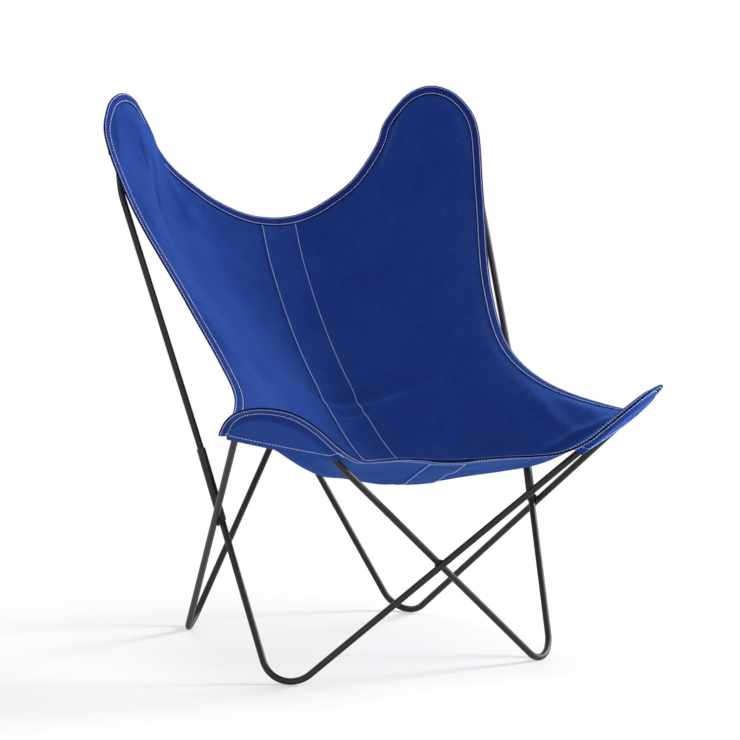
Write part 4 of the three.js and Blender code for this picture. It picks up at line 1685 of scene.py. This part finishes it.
    def _strip(self) -> None:
        """Makes the strip over the joint of the halves, on the seat and underneath, sewn in by the hems."""
        seat, facing = self._strip_grid()
        lift = self.thickness / 2 + self.strip_thickness / 2 + self.strip_gap
        lengths = run_lengths(seat[:, self.strip_columns // 2])
        lay = np.stack(np.broadcast_arrays(seat[..., 0] * MM, lengths[:, None] * MM), axis=-1)
        for name, face in (("centre_strip_canvas", 1.0), ("centre_strip_lining", -1.0)):
            middle, ways = seat + facing * lift * face, facing * face
            piece = self._sheet(name, middle, ways, lay, self.strip_thickness)
            if face > 0:
                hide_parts("centre_strip")
            threads = []
            for x in (-self.strip_stitch, self.strip_stitch):
                i, w = divmod((x + self.strip_width / 2) / self.strip_width * (self.strip_columns - 1), 1)
                path, way = (grid[:, int(i)] * (1 - w) + grid[:, int(i) + 1] * w for grid in (middle, ways))
                way = unit(way)
                threads.append(((path + way * self.strip_thickness / 2)[1:-1], way[1:-1]))
            stitches = self._thread(name + "_stitching", threads, Slot.CANVAS)
            self.strip_width * MM


@dataclass(frozen=True)
class Lamp:
    """One large soft square lamp: its places and size in metres, its power in watts."""

    name: str
    place: Triple
    aim: Triple
    size: float
    power: float

    def hang(self) -> None:
        """Adds the lamp to the scene and turns it to its aim."""
        data = bpy.data.lights.new(self.name, "AREA")
        data.size, data.energy = self.size, self.power
        lamp = bpy.data.objects.new(self.name, data)
        lamp.location = self.place
        lamp.rotation_euler = (Vector(self.aim) - Vector(self.place)).to_track_quat("-Z", "Y").to_euler()
        bpy.context.scene.collection.objects.link(lamp)
        log.info("%s: %.0f W", self.name, self.power)


@dataclass
class Studio:
    """The white studio: floor, soft lights and the camera at the photograph's angle."""

    camera_place: Triple = (-2.8461, -5.9439, 1.3789)
    yaw: float = math.radians(25.672)
    pitch: float = math.radians(-7.851)
    roll: float = math.radians(0.535)
    lens: float = 194.55
    sensor: float = 36.0
    clip: Pair = (0.1, 60.0)
    floor_reach: float = 30.0
    surround: float = 0.42
    lamps: tuple[Lamp, ...] = (
        Lamp("key_light", (4.2, -0.6, 2.0), (0.0, 0.0, 0.6), 1.2, 285.0),
        Lamp("top_light", (0.2, -0.4, 4.2), (0.0, 0.0, 0.4), 2.6, 54.0),
        Lamp("fill_light", (-2.6, -3.8, 1.0), (0.0, 0.0, 0.4), 2.0, 40.0),
        Lamp("back_light", (-0.6, 3.4, 2.4), (0.0, 0.0, 0.5), 2.4, 30.0),
    )

    def build(self) -> None:
        """Makes the camera, the floor, the world and the lamps."""
        self._camera()
        self._floor()
        self._world()
        for lamp in self.lamps:
            lamp.hang()

    def _camera(self) -> None:
        """Sets up the camera, without shift or depth of field."""
        data = bpy.data.cameras.new("camera")
        data.lens, data.sensor_width = self.lens, self.sensor
        data.clip_start, data.clip_end = self.clip
        camera = bpy.data.objects.new("camera", data)
        level = np.array([math.cos(self.yaw), -math.sin(self.yaw), 0.0])
        ahead = np.array([math.sin(self.yaw), math.cos(self.yaw), 0.0])
        forward = ahead * math.cos(self.pitch) + UP * math.sin(self.pitch)
        upright = np.cross(level, forward)
        matrix = np.eye(4)
        matrix[:3, 0] = level * math.cos(self.roll) + upright * math.sin(self.roll)
        matrix[:3, 1] = upright * math.cos(self.roll) - level * math.sin(self.roll)
        matrix[:3, 2] = -forward
        matrix[:3, 3] = np.array(self.camera_place) + Place.centring
        camera.matrix_world = Matrix(matrix.tolist())
        bpy.context.scene.collection.objects.link(camera)
        bpy.context.scene.camera = camera

    def _floor(self) -> None:
        """Lays a wide white floor."""
        reach = self.floor_reach
        mesh = bpy.data.meshes.new("floor")
        corners = [(-reach, -reach, 0.0), (reach, -reach, 0.0), (reach, reach, 0.0), (-reach, reach, 0.0)]
        mesh.from_pydata(corners, [], [(0, 1, 2, 3)])
        mesh.materials.append(FloorFinish().material())
        floor = bpy.data.objects.new("floor", mesh)
        bpy.context.scene.collection.objects.link(floor)

    def _world(self) -> None:
        """Makes a soft surround that the camera and the coat's reflections see as white."""
        bench = Bench("surround", bpy.data.worlds)
        light, seen = (
            bench.wire("ShaderNodeBackground", None, {"Color": WHITE, "Strength": strength})
            for strength in (self.surround, 1.0)
        )
        shader = bench.wire("ShaderNodeMixShader", None, {0: bench.backdrop_rays(), 1: light, 2: seen})
        bench.node("ShaderNodeOutputWorld", None, {"Surface": shader})
        bpy.context.scene.world = bench.material


def main() -> None:
    """Builds the chair piece by piece, then the studio."""
    logging.basicConfig(level=logging.INFO, format="%(name)s: %(message)s")
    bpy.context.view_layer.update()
    bpy.context.scene.view_settings.view_transform = "Standard"
    coat = CoatFinish("black_powder_coat").material()
    weld = CoatFinish("coated_weld", roughness=0.5, peel_depth=0.0006).material()
    cloth = Cloth(
        canvas=CanvasFinish("blue_canvas").material(),
        hem=CanvasFinish(
            "blue_hem_canvas",
            colour=(0.0115, 0.024, 0.165, 1.0),
            faded=(0.0195, 0.037, 0.205, 1.0),
            deep=(0.007, 0.016, 0.12, 1.0),
            # Painted shadow lines along the hem's inner edge, on both faces, and along its outer fold.
            painted_shadow_lines=(0.0006, 0.0188, 0.0369),
        ).material(),
        thread=ThreadFinish().material(),
    )
    steel = SteelFrame()
    steel.build(coat, weld)
    Sling(steel, cloth).build()
    Studio().build()


if __name__ == "__main__":
    main()
